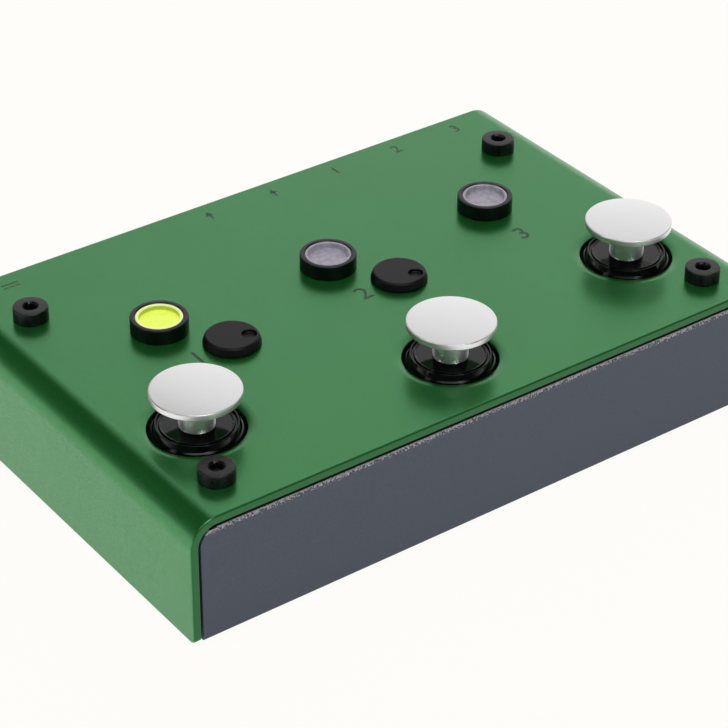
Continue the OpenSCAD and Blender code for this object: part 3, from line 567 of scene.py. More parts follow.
def lathe(corners: Outline, closed: bool = False, steps: int = LATHE_STEPS) -> Mesh:
    """Turns an outline about the Z axis.

    Args:
        corners: The outline, from axis to axis unless it is closed.
        closed: Whether it is a ring's closed outline.
        steps: Faces round the axis.

    Returns:
        Mesh of the closed solid, about the origin.
    """
    bm = bmesh.new()
    draw_outline(bm, corners, closed)
    bmesh.ops.spin(
        bm, geom=bm.verts[:] + bm.edges[:], cent=(0, 0, 0), axis=(0, 0, 1), angle=2 * math.pi, steps=steps,
        use_merge=True,
    )
    bmesh.ops.remove_doubles(bm, verts=bm.verts[:], dist=WELD)
    bmesh.ops.recalc_face_normals(bm, faces=bm.faces[:])
    return bm


def rod(radius: float, low: float, high: float, steps: int = LATHE_STEPS) -> Mesh:
    """Makes an upright cylinder about the Z axis, in millimetres."""
    return lathe([(0, low), (radius, low), (radius, high), (0, high)], steps=steps)


def brick(width: float, depth: float, height: float, edge: float = 0.3) -> Mesh:
    """Makes a block with rounded edges that stands on z = 0, in millimetres.

    Args:
        width: Size along X.
        depth: Size along Y.
        height: Size along Z.
        edge: Radius of its edges.

    Returns:
        Its mesh.
    """
    bm = bmesh.new()
    bmesh.ops.create_cube(bm, size=1)
    bmesh.ops.scale(bm, vec=(width * MM, depth * MM, height * MM), verts=bm.verts[:])
    shifted(bm, (0, 0, height * MM / 2))
    round_edges(bm, bm.edges[:], edge)
    return bm


def shifted(bm: Mesh, spot: Vector | tuple[float, float, float]) -> Mesh:
    """Shifts a mesh by metres and returns it."""
    bmesh.ops.translate(bm, vec=spot, verts=bm.verts[:])
    return bm


def moved(bm: Mesh, x: float = 0, y: float = 0, z: float = 0) -> Mesh:
    """Shifts a mesh by millimetres and returns it."""
    return shifted(bm, (x * MM, y * MM, z * MM))


def lying(bm: Mesh) -> Mesh:
    """Lays a standing mesh down, its top towards +Y, and returns it."""
    bmesh.ops.rotate(bm, cent=(0, 0, 0), matrix=Matrix.Rotation(-QUARTER, 3, "X"), verts=bm.verts[:])
    return bm


def joined(parts: list[Mesh]) -> Mesh:
    """Puts several meshes into the first, frees the others and returns it."""
    whole = parts[0]
    for part in parts[1:]:
        mesh = bpy.data.meshes.new("part")
        part.to_mesh(mesh)
        part.free()
        whole.from_mesh(mesh)
        bpy.data.meshes.remove(mesh)
    return whole


def repeated(bm: Mesh, places: list[tuple[float, float]]) -> Mesh:
    """Copies a mesh to several places and returns the copies as one mesh.

    Args:
        bm: The piece about the origin.
        places: X and Y of each copy in metres.

    Returns:
        One mesh of all copies.
    """
    copies = [bm.copy() for _ in places]
    bm.free()
    for copy, (x, y) in zip(copies, places):
        shifted(copy, (x, y, 0))
    return joined(copies)


class Cut(Enum):
    """Boolean step between two solids."""

    AWAY = "DIFFERENCE"
    KEEP = "INTERSECT"
    ADD = "UNION"


def carved(solid: Mesh, tool: Mesh, step: Cut = Cut.AWAY) -> Mesh:
    """Cuts one solid with another.

    Args:
        solid: The solid to change.
        tool: The solid that changes it.
        step: Which boolean step.

    Returns:
        Mesh of the result.
    """
    objects = []
    for bm in (solid, tool):
        mesh = bpy.data.meshes.new("cut")
        bm.to_mesh(mesh)
        bm.free()
        objects.append(bpy.data.objects.new("cut", mesh))
        bpy.context.scene.collection.objects.link(objects[-1])
    target, cutter = objects
    modifier = target.modifiers.new("cut", "BOOLEAN")
    modifier.operation, modifier.solver, modifier.object = step.value, "EXACT", cutter
    depsgraph = bpy.context.evaluated_depsgraph_get()
    result = bmesh.new()
    result.from_object(target, depsgraph)
    for item in objects:
        mesh = item.data
        bpy.data.objects.remove(item)
        bpy.data.meshes.remove(mesh)
    bmesh.ops.dissolve_degenerate(result, dist=WELD, edges=result.edges[:])
    return result


def sharp_edges(bm: Mesh) -> list[bmesh.types.BMEdge]:
    """Returns the edges of a mesh that turn by more than 60 degrees."""
    return [edge for edge in bm.edges if edge.calc_face_angle(0) > STEEP]


def round_edges(bm: Mesh, edges: list[bmesh.types.BMEdge], radius: float) -> None:
    """Rounds edges of a mesh.

    Args:
        bm: The mesh.
        edges: Its edges to round.
        radius: Radius in millimetres.
    """
    bmesh.ops.bevel(
        bm, geom=edges, offset=radius * MM, offset_type="OFFSET", segments=4, profile=0.5, affect="EDGES",
        material=-1, clamp_overlap=True,
    )


def prism(corners: Outline, length: float, edge: float = 0.0) -> Mesh:
    """Extrudes a closed upright outline along Y, centred, in millimetres.

    Args:
        corners: The outline.
        length: Length of the prism.
        edge: Radius of its sharp edges.

    Returns:
        Its mesh.
    """
    bm = bmesh.new()
    draw_outline(bm, corners, closed=True, steps=12)
    bmesh.ops.contextual_create(bm, geom=bm.edges[:])
    grown = bmesh.ops.extrude_face_region(bm, geom=bm.faces[:], use_keep_orig=True)
    new = [item for item in grown["geom"] if isinstance(item, bmesh.types.BMVert)]
    bmesh.ops.translate(bm, vec=(0, length * MM, 0), verts=new)
    shifted(bm, (0, -length * MM / 2, 0))
    bmesh.ops.recalc_face_normals(bm, faces=bm.faces[:])
    if edge:
        round_edges(bm, sharp_edges(bm), edge)
    return bm


def turned(bm: Mesh, quarters: int = 1) -> Mesh:
    """Turns a mesh by quarters about Z, its Y towards -X, and returns it."""
    turn = Matrix.Rotation(quarters * QUARTER, 3, "Z")
    bmesh.ops.rotate(bm, cent=(0, 0, 0), matrix=turn, verts=bm.verts[:])
    return bm


@dataclass(frozen=True)
class Sheet:
    """Folded sheet of metal, in millimetres.

    Attributes:
        outline: Open outline of its outer face across the folds.
        length: Length along the folds.
        thickness: Thickness of the sheet.
        corner: Radius of the flat pattern's four corners.
        edge: Radius of its outer edges.
        inner_edge: Radius of its inner edges.
    """

    outline: Outline
    length: float
    thickness: float
    corner: float
    edge: float
    inner_edge: float = 0.15

    def mesh(self) -> Mesh:
        """Folds the sheet along the Y axis, centred, and returns its mesh."""
        bm = bmesh.new()
        draw_outline(bm, self.outline, closed=False, steps=16)
        shifted(bm, (0, -self.length * MM / 2, 0))
        grown = bmesh.ops.extrude_edge_only(bm, edges=bm.edges[:])
        new = [item for item in grown["geom"] if isinstance(item, bmesh.types.BMVert)]
        bmesh.ops.translate(bm, vec=(0, self.length * MM, 0), verts=new)
        bmesh.ops.recalc_face_normals(bm, faces=bm.faces[:])
        ends = [v for v in bm.verts if len(v.link_edges) == 2]
        bmesh.ops.bevel(
            bm, geom=ends, offset=self.corner * MM, offset_type="OFFSET", segments=10, profile=0.5,
            affect="VERTICES", material=-1,
        )
        rim = [edge for edge in bm.edges if edge.is_boundary]
        bmesh.ops.solidify(bm, geom=bm.faces[:], thickness=self.thickness * MM)
        bmesh.ops.recalc_face_normals(bm, faces=bm.faces[:])
        round_edges(bm, rim, self.edge)
        round_edges(bm, sharp_edges(bm), self.inner_edge)
        return bm


def spot_over(node: str) -> Vector:
    """Returns the spot on the cover's face above a CAD node's middle, in metres."""
    low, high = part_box(node)
    return Vector(((low.x + high.x) / 2, (low.y + high.y) / 2, COVER_TOP))


@dataclass
class Assembly:
    """Sub-assembly that makes its pieces and reports them.

    Attributes:
        body: CAD body that carries the pieces.
    """

    body: str = "housing"

    def add(
        self, name: str, bm: Mesh, material: bpy.types.Material, slot: str, replaced: list[str]
    ) -> bpy.types.Object:
        """Turns a mesh into a finished piece.

        Args:
            name: Name of the piece.
            bm: Its mesh, in place and in metres.
            material: Its finish.
            slot: The record's material slot; not used.
            replaced: CAD nodes that it stands for.

        Returns:
            The new object.
        """
        for face in bm.faces:
            face.smooth = True
        for edge in bm.edges:
            edge.smooth = edge.calc_face_angle(0) < SHARP
        mesh = bpy.data.meshes.new(name)
        bm.to_mesh(mesh)
        bm.free()
        mesh.materials.append(material)
        piece = bpy.data.objects.new(name, mesh)
        bpy.context.scene.collection.objects.link(piece)
        normals = piece.modifiers.new("weighted normals", "WEIGHTED_NORMAL")
        normals.keep_sharp = True
        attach(piece, self.body)
        if replaced:
            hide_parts(*replaced)
        log.info("%s: %d faces on %s", name, len(mesh.polygons), self.body)
        return piece


@dataclass
class Case(Assembly):
    """Folded cover and chassis, with the feet under them."""

    thickness: float = 2.0
    bend: float = 7.0
    skirt: float = 1.6
    edge: float = 0.45
    switch_hole: float = 11.5
    hole_edge: float = 0.25
    hole_dish: float = 0.5
    lamp_hole: float = 6.2
    knob_hole: float = 5.0
    screw_hole: float = 2.7
    plain_edge: float = 0.2
    jack_hole: float = 5.9
    inlet_hole: float = 4.2
    rivet_hole: float = 3.5
    chassis_thickness: float = 1.5
    fold: float = 0.8
    fold_inside: float = 0.4
    panel_corner: float = 4.4
    panel_edge: float = 0.2
    lip_fold: float = 1.6
    lip_depth: float = 6.0
    tab_width: float = 20.0
    tab_end: float = 7.0
    foot_radius: float = 6.35
    foot_height: float = 1.0

    def build(self) -> None:
        """Builds the cover, the chassis and the feet."""
        self.cover()
        self.chassis()
        self.feet()

    def hole(self, radius: float, lip: float, dish: float = 0.0) -> Mesh:
        """Makes the cutter of a hole through the cover, whose edge it rounds.

        Args:
            radius: Radius of the hole.
            lip: Radius of its upper edge.
            dish: Depth to which the sheet dips round the hole.

        Returns:
            Mesh that reaches from below the sheet to above it.
        """
        above = 0.003 if dish else 0.01
        slope = [(radius + 3.2 * dish, above, 12 * dish)] if dish else []
        outside = radius + lip + 0.5 + 6 * dish
        return lathe([
            (0, -self.thickness - 1), (radius, -self.thickness - 1), (radius, above - dish, lip),
            *slope, (outside, above), (outside, 2), (0, 2),
        ])

    def cover(self) -> None:
        """Builds the green cover with all its holes."""
        low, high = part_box("top_cover")
        half, height = (high.x - low.x) / 2 / MM, (high.z - low.z) / MM
        outline = [(-half, 0), (-half, height, self.bend), (half, height, self.bend), (half, 0)]
        bm = Sheet(outline, (high.y - low.y) / MM, self.thickness, self.skirt, self.edge).mesh()
        shifted(bm, (0, (low.y + high.y) / 2, low.z))
        holes = [(f"switch_tower_{i}", self.switch_hole, self.hole_edge, self.hole_dish) for i in SWITCHES]
        holes += [(f"lamp_bezel_{i}", self.lamp_hole, self.plain_edge, 0.0) for i in SWITCHES]
        holes += [(f"gain_knob_{i}", self.knob_hole, self.plain_edge, 0.0) for i in KNOBS]
        tools = []
        for node, radius, lip, dish in holes:
            middle = spot_over(node)
            tools.append(moved(self.hole(radius, lip, dish), middle.x / MM, middle.y / MM, high.z / MM))
        for x, y in screw_places():
            tools.append(moved(self.hole(self.screw_hole, self.plain_edge), x / MM, y / MM, high.z / MM))
        piece = self.add(
            "cover_sheet", carved(bm, joined(tools)), GREEN_LACQUER.build(), "green_paint", ["top_cover"]
        )
        piece.data.materials.append(EDGE_LACQUER.build())
        for face in piece.data.polygons:
            face.material_index = int(abs(face.normal.y) > 0.8)

    def chassis(self) -> None:
        """Builds the tray with its two panels, their folded lips and all its holes."""
        low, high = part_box("chassis")
        width, depth, height = (high - low) / MM
        sheet, fold, corner = self.chassis_thickness, self.fold, self.panel_corner
        outer = prism([
            (-depth / 2, 0, fold), (depth / 2, 0, fold), (depth / 2, height),
            (-depth / 2, height),
        ], width, self.panel_edge)
        inside = depth / 2 - sheet
        inner = prism([
            (-inside, sheet, self.fold_inside), (inside, sheet, self.fold_inside),
            (inside, height + 1), (-inside, height + 1),
        ], width + 2)
        arch = prism([
            (-width / 2, -1), (-width / 2, height, corner), (width / 2, height, corner),
            (width / 2, -1),
        ], depth + 2)
        tray = carved(carved(turned(outer), turned(inner)), arch, Cut.KEEP)
        lip_width = width - 2 * corner
        parts, cuts = [], []
        for side in SIDES:
            lip = moved(brick(lip_width, self.lip_depth, sheet, 0.1), 0, side * (depth - self.lip_depth) / 2,
                        height - sheet)
            cut = turned(prism([
                (-0.5, -self.lip_fold - 0.2), (-0.005, -self.lip_fold - 0.2),
                (-0.005, 0.005, self.lip_fold), (self.lip_fold + 0.2, 0.005),
                (self.lip_fold + 0.2, 0.5), (-0.5, 0.5),
            ], lip_width))
            if side > 0:
                cut = turned(cut, 2)
            parts.append(lip)
            cuts.append(moved(cut, 0, side * depth / 2, height))
        middle = (low.y + high.y) / 2
        for x, y in screw_places():
            side = math.copysign(1, y - middle)
            start = side * (depth / 2 - self.lip_depth / 2)
            end = (y - middle) / MM - side * self.tab_end
            tab = brick(self.tab_width, abs(start - end), sheet - 0.02, 0.1)
            parts.append(moved(tab, x / MM, (start + end) / 2, height - sheet + 0.01))
            radius = self.rivet_hole
            rivet = rod(radius, -9, 9)
            cuts.append(moved(rivet, x / MM, (y - middle) / MM, height))
        openings = [(f"jack_socket_{i}", self.jack_hole) for i in JACKS] + [("power_inlet", self.inlet_hole)]
        for node, radius in openings:
            spot = rear_axis(node)
            hole = lying(rod(radius, -3, 3))
            cuts.append(moved(hole, spot.x / MM, depth / 2, (spot.z - low.z) / MM))
        for part in parts:
            tray = carved(tray, part, Cut.ADD)
        for cut in cuts:
            tray = carved(tray, cut)
        shifted(tray, (0, middle, low.z))
        # The painted highlight band and the painted shadow line sit at the panels' top edge
        finish = replace(POWDER_COAT, edge=high.z)
        self.add("chassis_tray", tray, finish.build(), "dark_coat", ["chassis"])

    def feet(self) -> None:
        """Builds the four stick-on feet, rounded where they meet the floor."""
        low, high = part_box("rubber_feet")
        inset = self.foot_radius * MM
        places = [(x, y) for x in (low.x + inset, high.x - inset) for y in (low.y + inset, high.y - inset)]
        foot = lathe([
            (0, 0.15), (3.6, 0.15), (4.2, 0, 0.4), (self.foot_radius, 0, 0.3),
            (self.foot_radius, self.foot_height), (0, self.foot_height),
        ])
        shifted(foot, (0, 0, low.z))
        self.add("feet", repeated(foot, places), RUBBER.build(), "rubber", ["rubber_feet"])


def screw_places() -> list[tuple[float, float]]:
    """Returns X and Y of the four cover screws in metres, from their node's box."""
    low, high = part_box("cover_screws")
    inset = CoverScrews.head_radius * MM
    return [(x, y) for x in (low.x + inset, high.x - inset) for y in (low.y + inset, high.y - inset)]


def rear_axis(node: str) -> Vector:
    """Returns the axis of a rear socket at the back panel's outer face, in metres."""
    low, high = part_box(node)
    return Vector(((low.x + high.x) / 2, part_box("chassis")[1].y, low.z + 6.5 * MM))


@dataclass
class CoverScrews(Assembly):
    """Low-head screws with a hexagon socket."""

    head_radius: float = 4.3
    head: float = 3.45
    shank_radius: float = 2.5
    length: float = 10.0
    flats: float = 3.0
    socket: float = 2.0

    def build(self) -> None:
        """Builds one screw and copies it to its four places."""
        radius, corner = self.shank_radius, self.flats / math.sqrt(3)
        thread = []
        for k in range(11):
            z = -self.length + 0.6 + 0.8 * k
            thread += [(radius, z), (radius - 0.35, z + 0.4)]
        body = lathe([
            (0, -self.length), (radius - 0.5, -self.length), *thread, (radius, -0.4),
            (radius, 0), (self.head_radius, 0, 0.15), (self.head_radius, self.head, 0.32),
            (0, self.head),
        ])
        depth = self.head - self.socket
        socket = lathe([(0, depth - 0.5), (corner, depth), (corner, self.head + 1),
                        (0, self.head + 1)], steps=6)
        mouth = lathe([(0, self.head - 0.75), (self.flats / 2, self.head - 0.6),
                       (self.flats / 2 + 0.8, self.head + 0.3), (0, self.head + 0.3)])
        screw = carved(carved(body, socket), mouth)
        shifted(screw, (0, 0, COVER_TOP))
        self.add("socket_screws", repeated(screw, screw_places()), BLACK_OXIDE.build(), "black_steel",
                 ["cover_screws"])


@dataclass
class FootSwitch(Assembly):
    """Metal cap on its stem, the guide bush round it and the spring under it.

    Attributes:
        number: Number of the footswitch, from the left.
    """

    number: int = 1
    cap_radius: float = 10.7
    cap_top: float = 9.9
    cap_thickness: float = 1.6
    dome: float = 0.6
    stem_radius: float = 4.25
    stem_end: float = -12.7
    groove: float = 0.19
    bore_radius: float = 2.03
    bore_end: float = -4.2
    spring_radius: float = 6.8
    spring_wire: float = 0.8
    spring_turns: int = 4
    travel: float = 3.0

    def build(self) -> None:
        """Builds the cap, the bush and the spring."""
        self.cap()
        self.bush()
        self.spring()

    def cap(self) -> None:
        """Turns the domed cap and its stem, which keeps its turning grooves, from one outline."""
        edge = self.cap_radius - 0.3
        ball = (edge ** 2 + self.dome ** 2) / (2 * self.dome)
        top = self.cap_top + self.dome - ball
        dome = [(edge * k / 10, top + math.sqrt(ball ** 2 - (edge * k / 10) ** 2)) for k in range(10, -1, -1)]
        under = self.cap_top - self.cap_thickness
        groove = self.groove
        grooves = []
        for k in range(int((under - 1) / (2 * groove))):
            grooves += [
                (self.stem_radius, 2 * groove * k), (self.stem_radius - groove, 2 * groove * (k + 0.5))
            ]
        bm = lathe([
            (0, self.bore_end), (self.bore_radius, self.bore_end),
            (self.bore_radius, self.stem_end, 0.15), (self.stem_radius, self.stem_end, 0.3), *grooves,
            (self.stem_radius, under - 0.9), (self.stem_radius, under, 0.5),
            (self.cap_radius, under, 0.3),
            (self.cap_radius, self.cap_top - 0.05, 0.28), *dome,
        ])
        shifted(bm, spot_over(f"foot_cap_{self.number}"))
        Assembly(f"foot_switch_{self.number}").add(
            f"switch_cap_{self.number}", bm, BLASTED_ALUMINIUM.build(), "satin_aluminium",
            [f"foot_cap_{self.number}"],
        )

    def bush(self) -> None:
        """Turns the black bush with its stepped rim and its dish."""
        bm = lathe([
            (4.3, -12.6), (8.47, -12.6, 0.2), (8.47, -8.6), (11.3, -8.6, 0.2),
            (11.3, -1.6, 0.3), (10.6, -0.7, 0.2), (10.2, -0.5, 0.2), (9.6, 0.9, 0.13),
            (9.3, 0.9, 0.13), (9.15, 0.25, 0.1), (8.7, 0.25, 0.1), (8.6, 0.75, 0.1),
            (8.35, 0.75, 0.1), (8.15, 0.55, 0.15), (4.3, 0.55, 0.12),
        ], closed=True)
        shifted(bm, spot_over(f"guide_bush_{self.number}"))
        self.add(
            f"switch_bush_{self.number}", bm, GLOSS_ABS.build(), "gloss_black", [f"guide_bush_{self.number}"]
        )

    def spring(self) -> None:
        """Winds the return spring at an even pitch from its bottom to its top."""
        low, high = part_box(f"return_spring_{self.number}")
        middle = spot_over(f"return_spring_{self.number}")
        wire = self.spring_wire * MM
        rise = high.z - low.z - wire
        bm = bmesh.new()
        ring = bmesh.ops.create_circle(bm, cap_ends=True, radius=wire / 2 * 0.98, segments=10)["verts"]
        bmesh.ops.rotate(bm, cent=(0, 0, 0), matrix=Matrix.Rotation(QUARTER, 3, "X"), verts=ring)
        bmesh.ops.translate(bm, vec=(self.spring_radius * MM, 0, wire / 2), verts=ring)
        steps = 40 * self.spring_turns
        bmesh.ops.spin(
            bm, geom=bm.faces[:], cent=(0, 0, 0), axis=(0, 0, 1), dvec=(0, 0, rise / steps),
            angle=2 * math.pi * self.spring_turns, steps=steps, use_merge=False,
        )
        bmesh.ops.recalc_face_normals(bm, faces=bm.faces[:])
        shifted(bm, (middle.x, middle.y, low.z))
        piece = self.add(f"coil_spring_{self.number}", bm, SPRING_WIRE.build(), "spring_steel",
                         [f"return_spring_{self.number}"])
        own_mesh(piece)


@dataclass
class Lamp(Assembly):
    """Ringed lamp: bezel, clear window and diode.

    Attributes:
        number: Number of the lamp, from the left.
        lit: Whether its light is on.
    """

    number: int = 1
    lit: bool = False
    radius: float = 7.05
    height: float = 3.95
    window: float = 5.45
    rim: float = 3.75

    def build(self) -> None:
        """Builds the bezel, the window and the diode."""
        middle = spot_over(f"lamp_bezel_{self.number}")
        window, height = self.window, self.height
        bezel = lathe([
            (4.6, -9, 0.1), (6, -9, 0.3), (6, -0.01), (self.radius, 0, 0.1),
            (self.radius, height, 0.3), (window + 0.5, height, 0.12),
            (window, height - 0.5, 0.15), (window, 0.2), (4.6, 0.2),
        ], closed=True)
        lens = lathe([
            (0, 1.42), (window - 0.03, 1.42, 0.1), (window - 0.03, height - 0.49),
            (window + 0.22, height - 0.24), (window + 0.2, self.rim, 0.05),
            (window - 0.45, self.rim, 0.2), (window - 0.65, 2.3, 0.4), (0, 2.3),
        ])
        dome = [(2.5 * math.cos(a), -3.7 + 2.5 * math.sin(a)) for a in (k * QUARTER / 9 for k in range(1, 9))]
        diode = lathe([
            (0, -9.8), (2.9, -9.8, 0.1), (2.9, -8.8, 0.1), (2.5, -8.8), (2.5, -3.7),
            *dome, (0, -1.2),
        ])
        legs = [moved(brick(0.5, 0.5, 15.2, 0.05), side * 1.27, 0, -24.5) for side in SIDES]
        glass = LIT_ACRYLIC.build(middle) if self.lit else ACRYLIC.build()
        parts = [
            ("ring", bezel, BLACK_ANODISED.build(middle), "black_plastic", "bezel"),
            ("window", lens, glass, "clear_plastic", "lens"),
            ("diode", joined([diode, *legs]), glass if self.lit else LED_EPOXY.build(),
             "lit_plastic" if self.lit else "clear_plastic", "led"),
        ]
        for word, bm, material, slot, node in parts:
            shifted(bm, middle)
            self.add(f"lamp_{word}_{self.number}", bm, material, slot, [f"lamp_{node}_{self.number}"])


@dataclass
class Reflectors(Assembly):
    """Bright cups under the lamps' windows."""

    def build(self) -> None:
        """Builds one cup with a curved inside and copies it to the three lamps."""
        curve = [(2.6 + 2.3 * (k / 8) ** 0.6, -1.9 + 3.3 * k / 8) for k in range(8, -1, -1)]
        cup = lathe([
            (2.55, -4), (4.55, -4, 0.2), (4.55, 0.2), (5.4, 0.2), (5.4, 1.4), *curve,
        ], closed=True)
        shifted(cup, (0, 0, COVER_TOP))
        places = [tuple(spot_over(f"lamp_bezel_{i}").xy) for i in SWITCHES]
        self.add(
            "reflector_cups", repeated(cup, places), METALLISED.build(), "bright_metal", ["lamp_reflectors"]
        )


@dataclass
class GainKnob(Assembly):
    """Low knob with a pointer dimple.

    Attributes:
        number: Number of the knob, from the left.
        pointer: Direction of its dimple from +X, in degrees.
    """

    number: int = 1
    pointer: float = -29.0
    base_radius: float = 7.025
    top_radius: float = 6.05
    top: float = 2.35
    gap: float = 0.3
    hub_radius: float = 4.5
    hub_end: float = -4.5
    bore_radius: float = 3.03
    bore_end: float = 0.98
    dimple_radius: float = 1.8
    dimple_out: float = 4.1
    dimple_depth: float = 0.8

    def build(self) -> None:
        """Turns the knob and sinks its dimple."""
        slope = (self.base_radius + self.top_radius) / 2
        body = lathe([
            (0, self.bore_end), (self.bore_radius, self.bore_end), (self.bore_radius, self.hub_end),
            (self.hub_radius, self.hub_end, 0.3), (self.hub_radius, self.gap),
            (self.base_radius, self.gap, 0.1), (self.base_radius, self.gap + 0.4, 0.3),
            (slope, self.top - 0.2, 0.5), (self.top_radius, self.top, 0.6), (0, self.top),
        ])
        dimple = lathe([
            (0, self.top - self.dimple_depth), (self.dimple_radius, self.top - self.dimple_depth, 0.45),
            (self.dimple_radius, self.top - 0.12), (self.dimple_radius + 0.14, self.top + 0.02),
            (self.dimple_radius + 0.14, self.top + 1), (0, self.top + 1),
        ], steps=48)
        turn = math.radians(self.pointer)
        dimple = moved(dimple, self.dimple_out * math.cos(turn), self.dimple_out * math.sin(turn))
        bm = carved(body, dimple)
        shifted(bm, spot_over(f"gain_knob_{self.number}"))
        self.add(
            f"knob_{self.number}", bm, KNOB_PLASTIC.build(), "knob_plastic", [f"gain_knob_{self.number}"]
        )


@dataclass
class RearJacks(Assembly):
    """Five plug sockets with their nuts and washers, in millimetres from the back panel's outer face."""

    nose_radius: float = 5.7
    nose: float = 7.0
    bore_radius: float = 3.25
    bore: float = 30.0
    case: tuple[float, float, float] = (14.5, 12.5, 23.0)
    panel: float = 1.5
    axis_height: float = 6.5
    nut_flats: float = 14.0
    nut: float = 3.4
    washer: float = 0.8
    washer_radius: float = 8.0

    def build(self) -> None:
        """Builds the sockets, then the nuts and the washers."""
        spots = [rear_axis(f"jack_socket_{i}") for i in JACKS]
        pattern = self.socket()
        for i, spot in zip(JACKS, spots):
            copy = pattern.copy()
            shifted(copy, spot)
            self.add(f"socket_{i}", copy, BLACK_NYLON.build(), "black_plastic", [f"jack_socket_{i}"])
        pattern.free()
        rows = [("socket_nuts", self.hex_nut(), "jack_nuts"), ("socket_washers", self.ring(), "jack_washers")]
        for name, bm, node in rows:
            shifted(bm, (0, 0, spots[0].z))
            self.add(name, repeated(bm, [(s.x, s.y) for s in spots]), ZINC.build(), "zinc_steel", [node])

    def socket(self) -> Mesh:
        """Builds one socket: case, threaded nose and plug bore.

        Returns:
            Its mesh, with its axis along +Y from the origin.
        """
        width, height, length = self.case
        case = moved(lying(moved(brick(width, height, length, 0.4), z=-length - self.panel)),
                     z=height / 2 - self.axis_height)
        thread = []
        for k in range(9):
            z = -0.4 + 0.8 * k
            thread += [(self.nose_radius, z), (self.nose_radius - 0.3, z + 0.4)]
        outer = lathe([(0, -self.panel - 0.5), (self.nose_radius, -self.panel - 0.5), *thread,
                       (self.nose_radius - 0.35, self.nose, 0.15), (0, self.nose)])
        mouth = self.bore_radius
        inner = lathe([
            (0, self.nose - self.bore), (mouth, self.nose - self.bore), (mouth, self.nose - 0.5),
            (mouth + 0.6, self.nose + 0.1), (mouth + 0.6, self.nose + 1), (0, self.nose + 1),
        ])
        return carved(carved(case, lying(outer), Cut.ADD), lying(inner))

    def hex_nut(self) -> Mesh:
        """Builds one chamfered nut, along +Y from its washer."""
        corner = self.nut_flats / math.sqrt(3)
        prism = rod(corner, 0, self.nut, steps=6)
        flat = self.nut_flats / 2
        barrel = lathe([
            (0, 0), (flat, 0), (corner + 0.1, 0.7), (corner + 0.1, self.nut - 0.7),
            (flat, self.nut), (0, self.nut),
        ])
        bore = rod(self.nose_radius + 0.05, -1, self.nut + 1)
        return lying(moved(carved(carved(prism, barrel, Cut.KEEP), bore), z=self.washer))

    def ring(self) -> Mesh:
        """Builds one washer with softened edges, along +Y from the panel."""
        inner, outer, thick = self.nose_radius + 0.2, self.washer_radius, self.washer
        return lying(lathe([
            (inner, 0, 0.1), (outer, 0, 0.1), (outer, thick, 0.25), (inner, thick, 0.1),
        ], closed=True))


@dataclass
class PowerInlet(Assembly):
    """Barrel inlet with its centre pin, in millimetres from the back panel's outer face."""

    case: tuple[float, float, float] = (9.0, 11.0, 13.0)
    panel: float = 1.5
    axis_height: float = 6.5
    nose_radius: float = 4.0
    bore_radius: float = 3.15
    bore: float = 10.0
    root: float = 2.0
    root_radius: float = 1.5
    pin_radius: float = 1.0
    pin_back: float = 1.0

    def build(self) -> None:
        """Builds the inlet's case and its pin."""
        width, height, length = self.case
        case = moved(lying(moved(brick(width, height, length, 0.3), z=-length - self.panel)),
                     z=height / 2 - self.axis_height)
        nose = lying(lathe([
            (0, -self.panel - 0.5), (self.nose_radius, -self.panel - 0.5),
            (self.nose_radius, 0, 0.2), (0, 0),
        ]))
        depth, root = -self.bore, self.root_radius + 0.03
        inner = lying(lathe([
            (0, depth - self.root), (root, depth - self.root), (root, depth),
            (self.bore_radius, depth), (self.bore_radius, -0.3), (self.bore_radius + 0.35, 0.05),
            (self.bore_radius + 0.35, 1), (0, 1),
        ]))
        pin = lying(lathe([
            (0, depth - self.root), (self.root_radius, depth - self.root),
            (self.root_radius, depth), (self.pin_radius, depth),
            (self.pin_radius, -self.pin_back, 0.5), (0, -self.pin_back),
        ]))
        spot = rear_axis("power_inlet")
        body = carved(carved(case, nose, Cut.ADD), inner)
        for name, bm, material, slot, node in (
            ("inlet", body, BLACK_NYLON.build(), "black_plastic", "power_inlet"),
            ("inlet_pin", pin, NICKEL.build(), "bright_metal", "power_pin"),
        ):
            shifted(bm, spot)
            self.add(name, bm, material, slot, [node])


@dataclass(frozen=True)
class Mark:
    """Printed figure on the cover, its place and height in millimetres from the footprint's middle."""

    text: str
    x: float
    y: float
    size: float


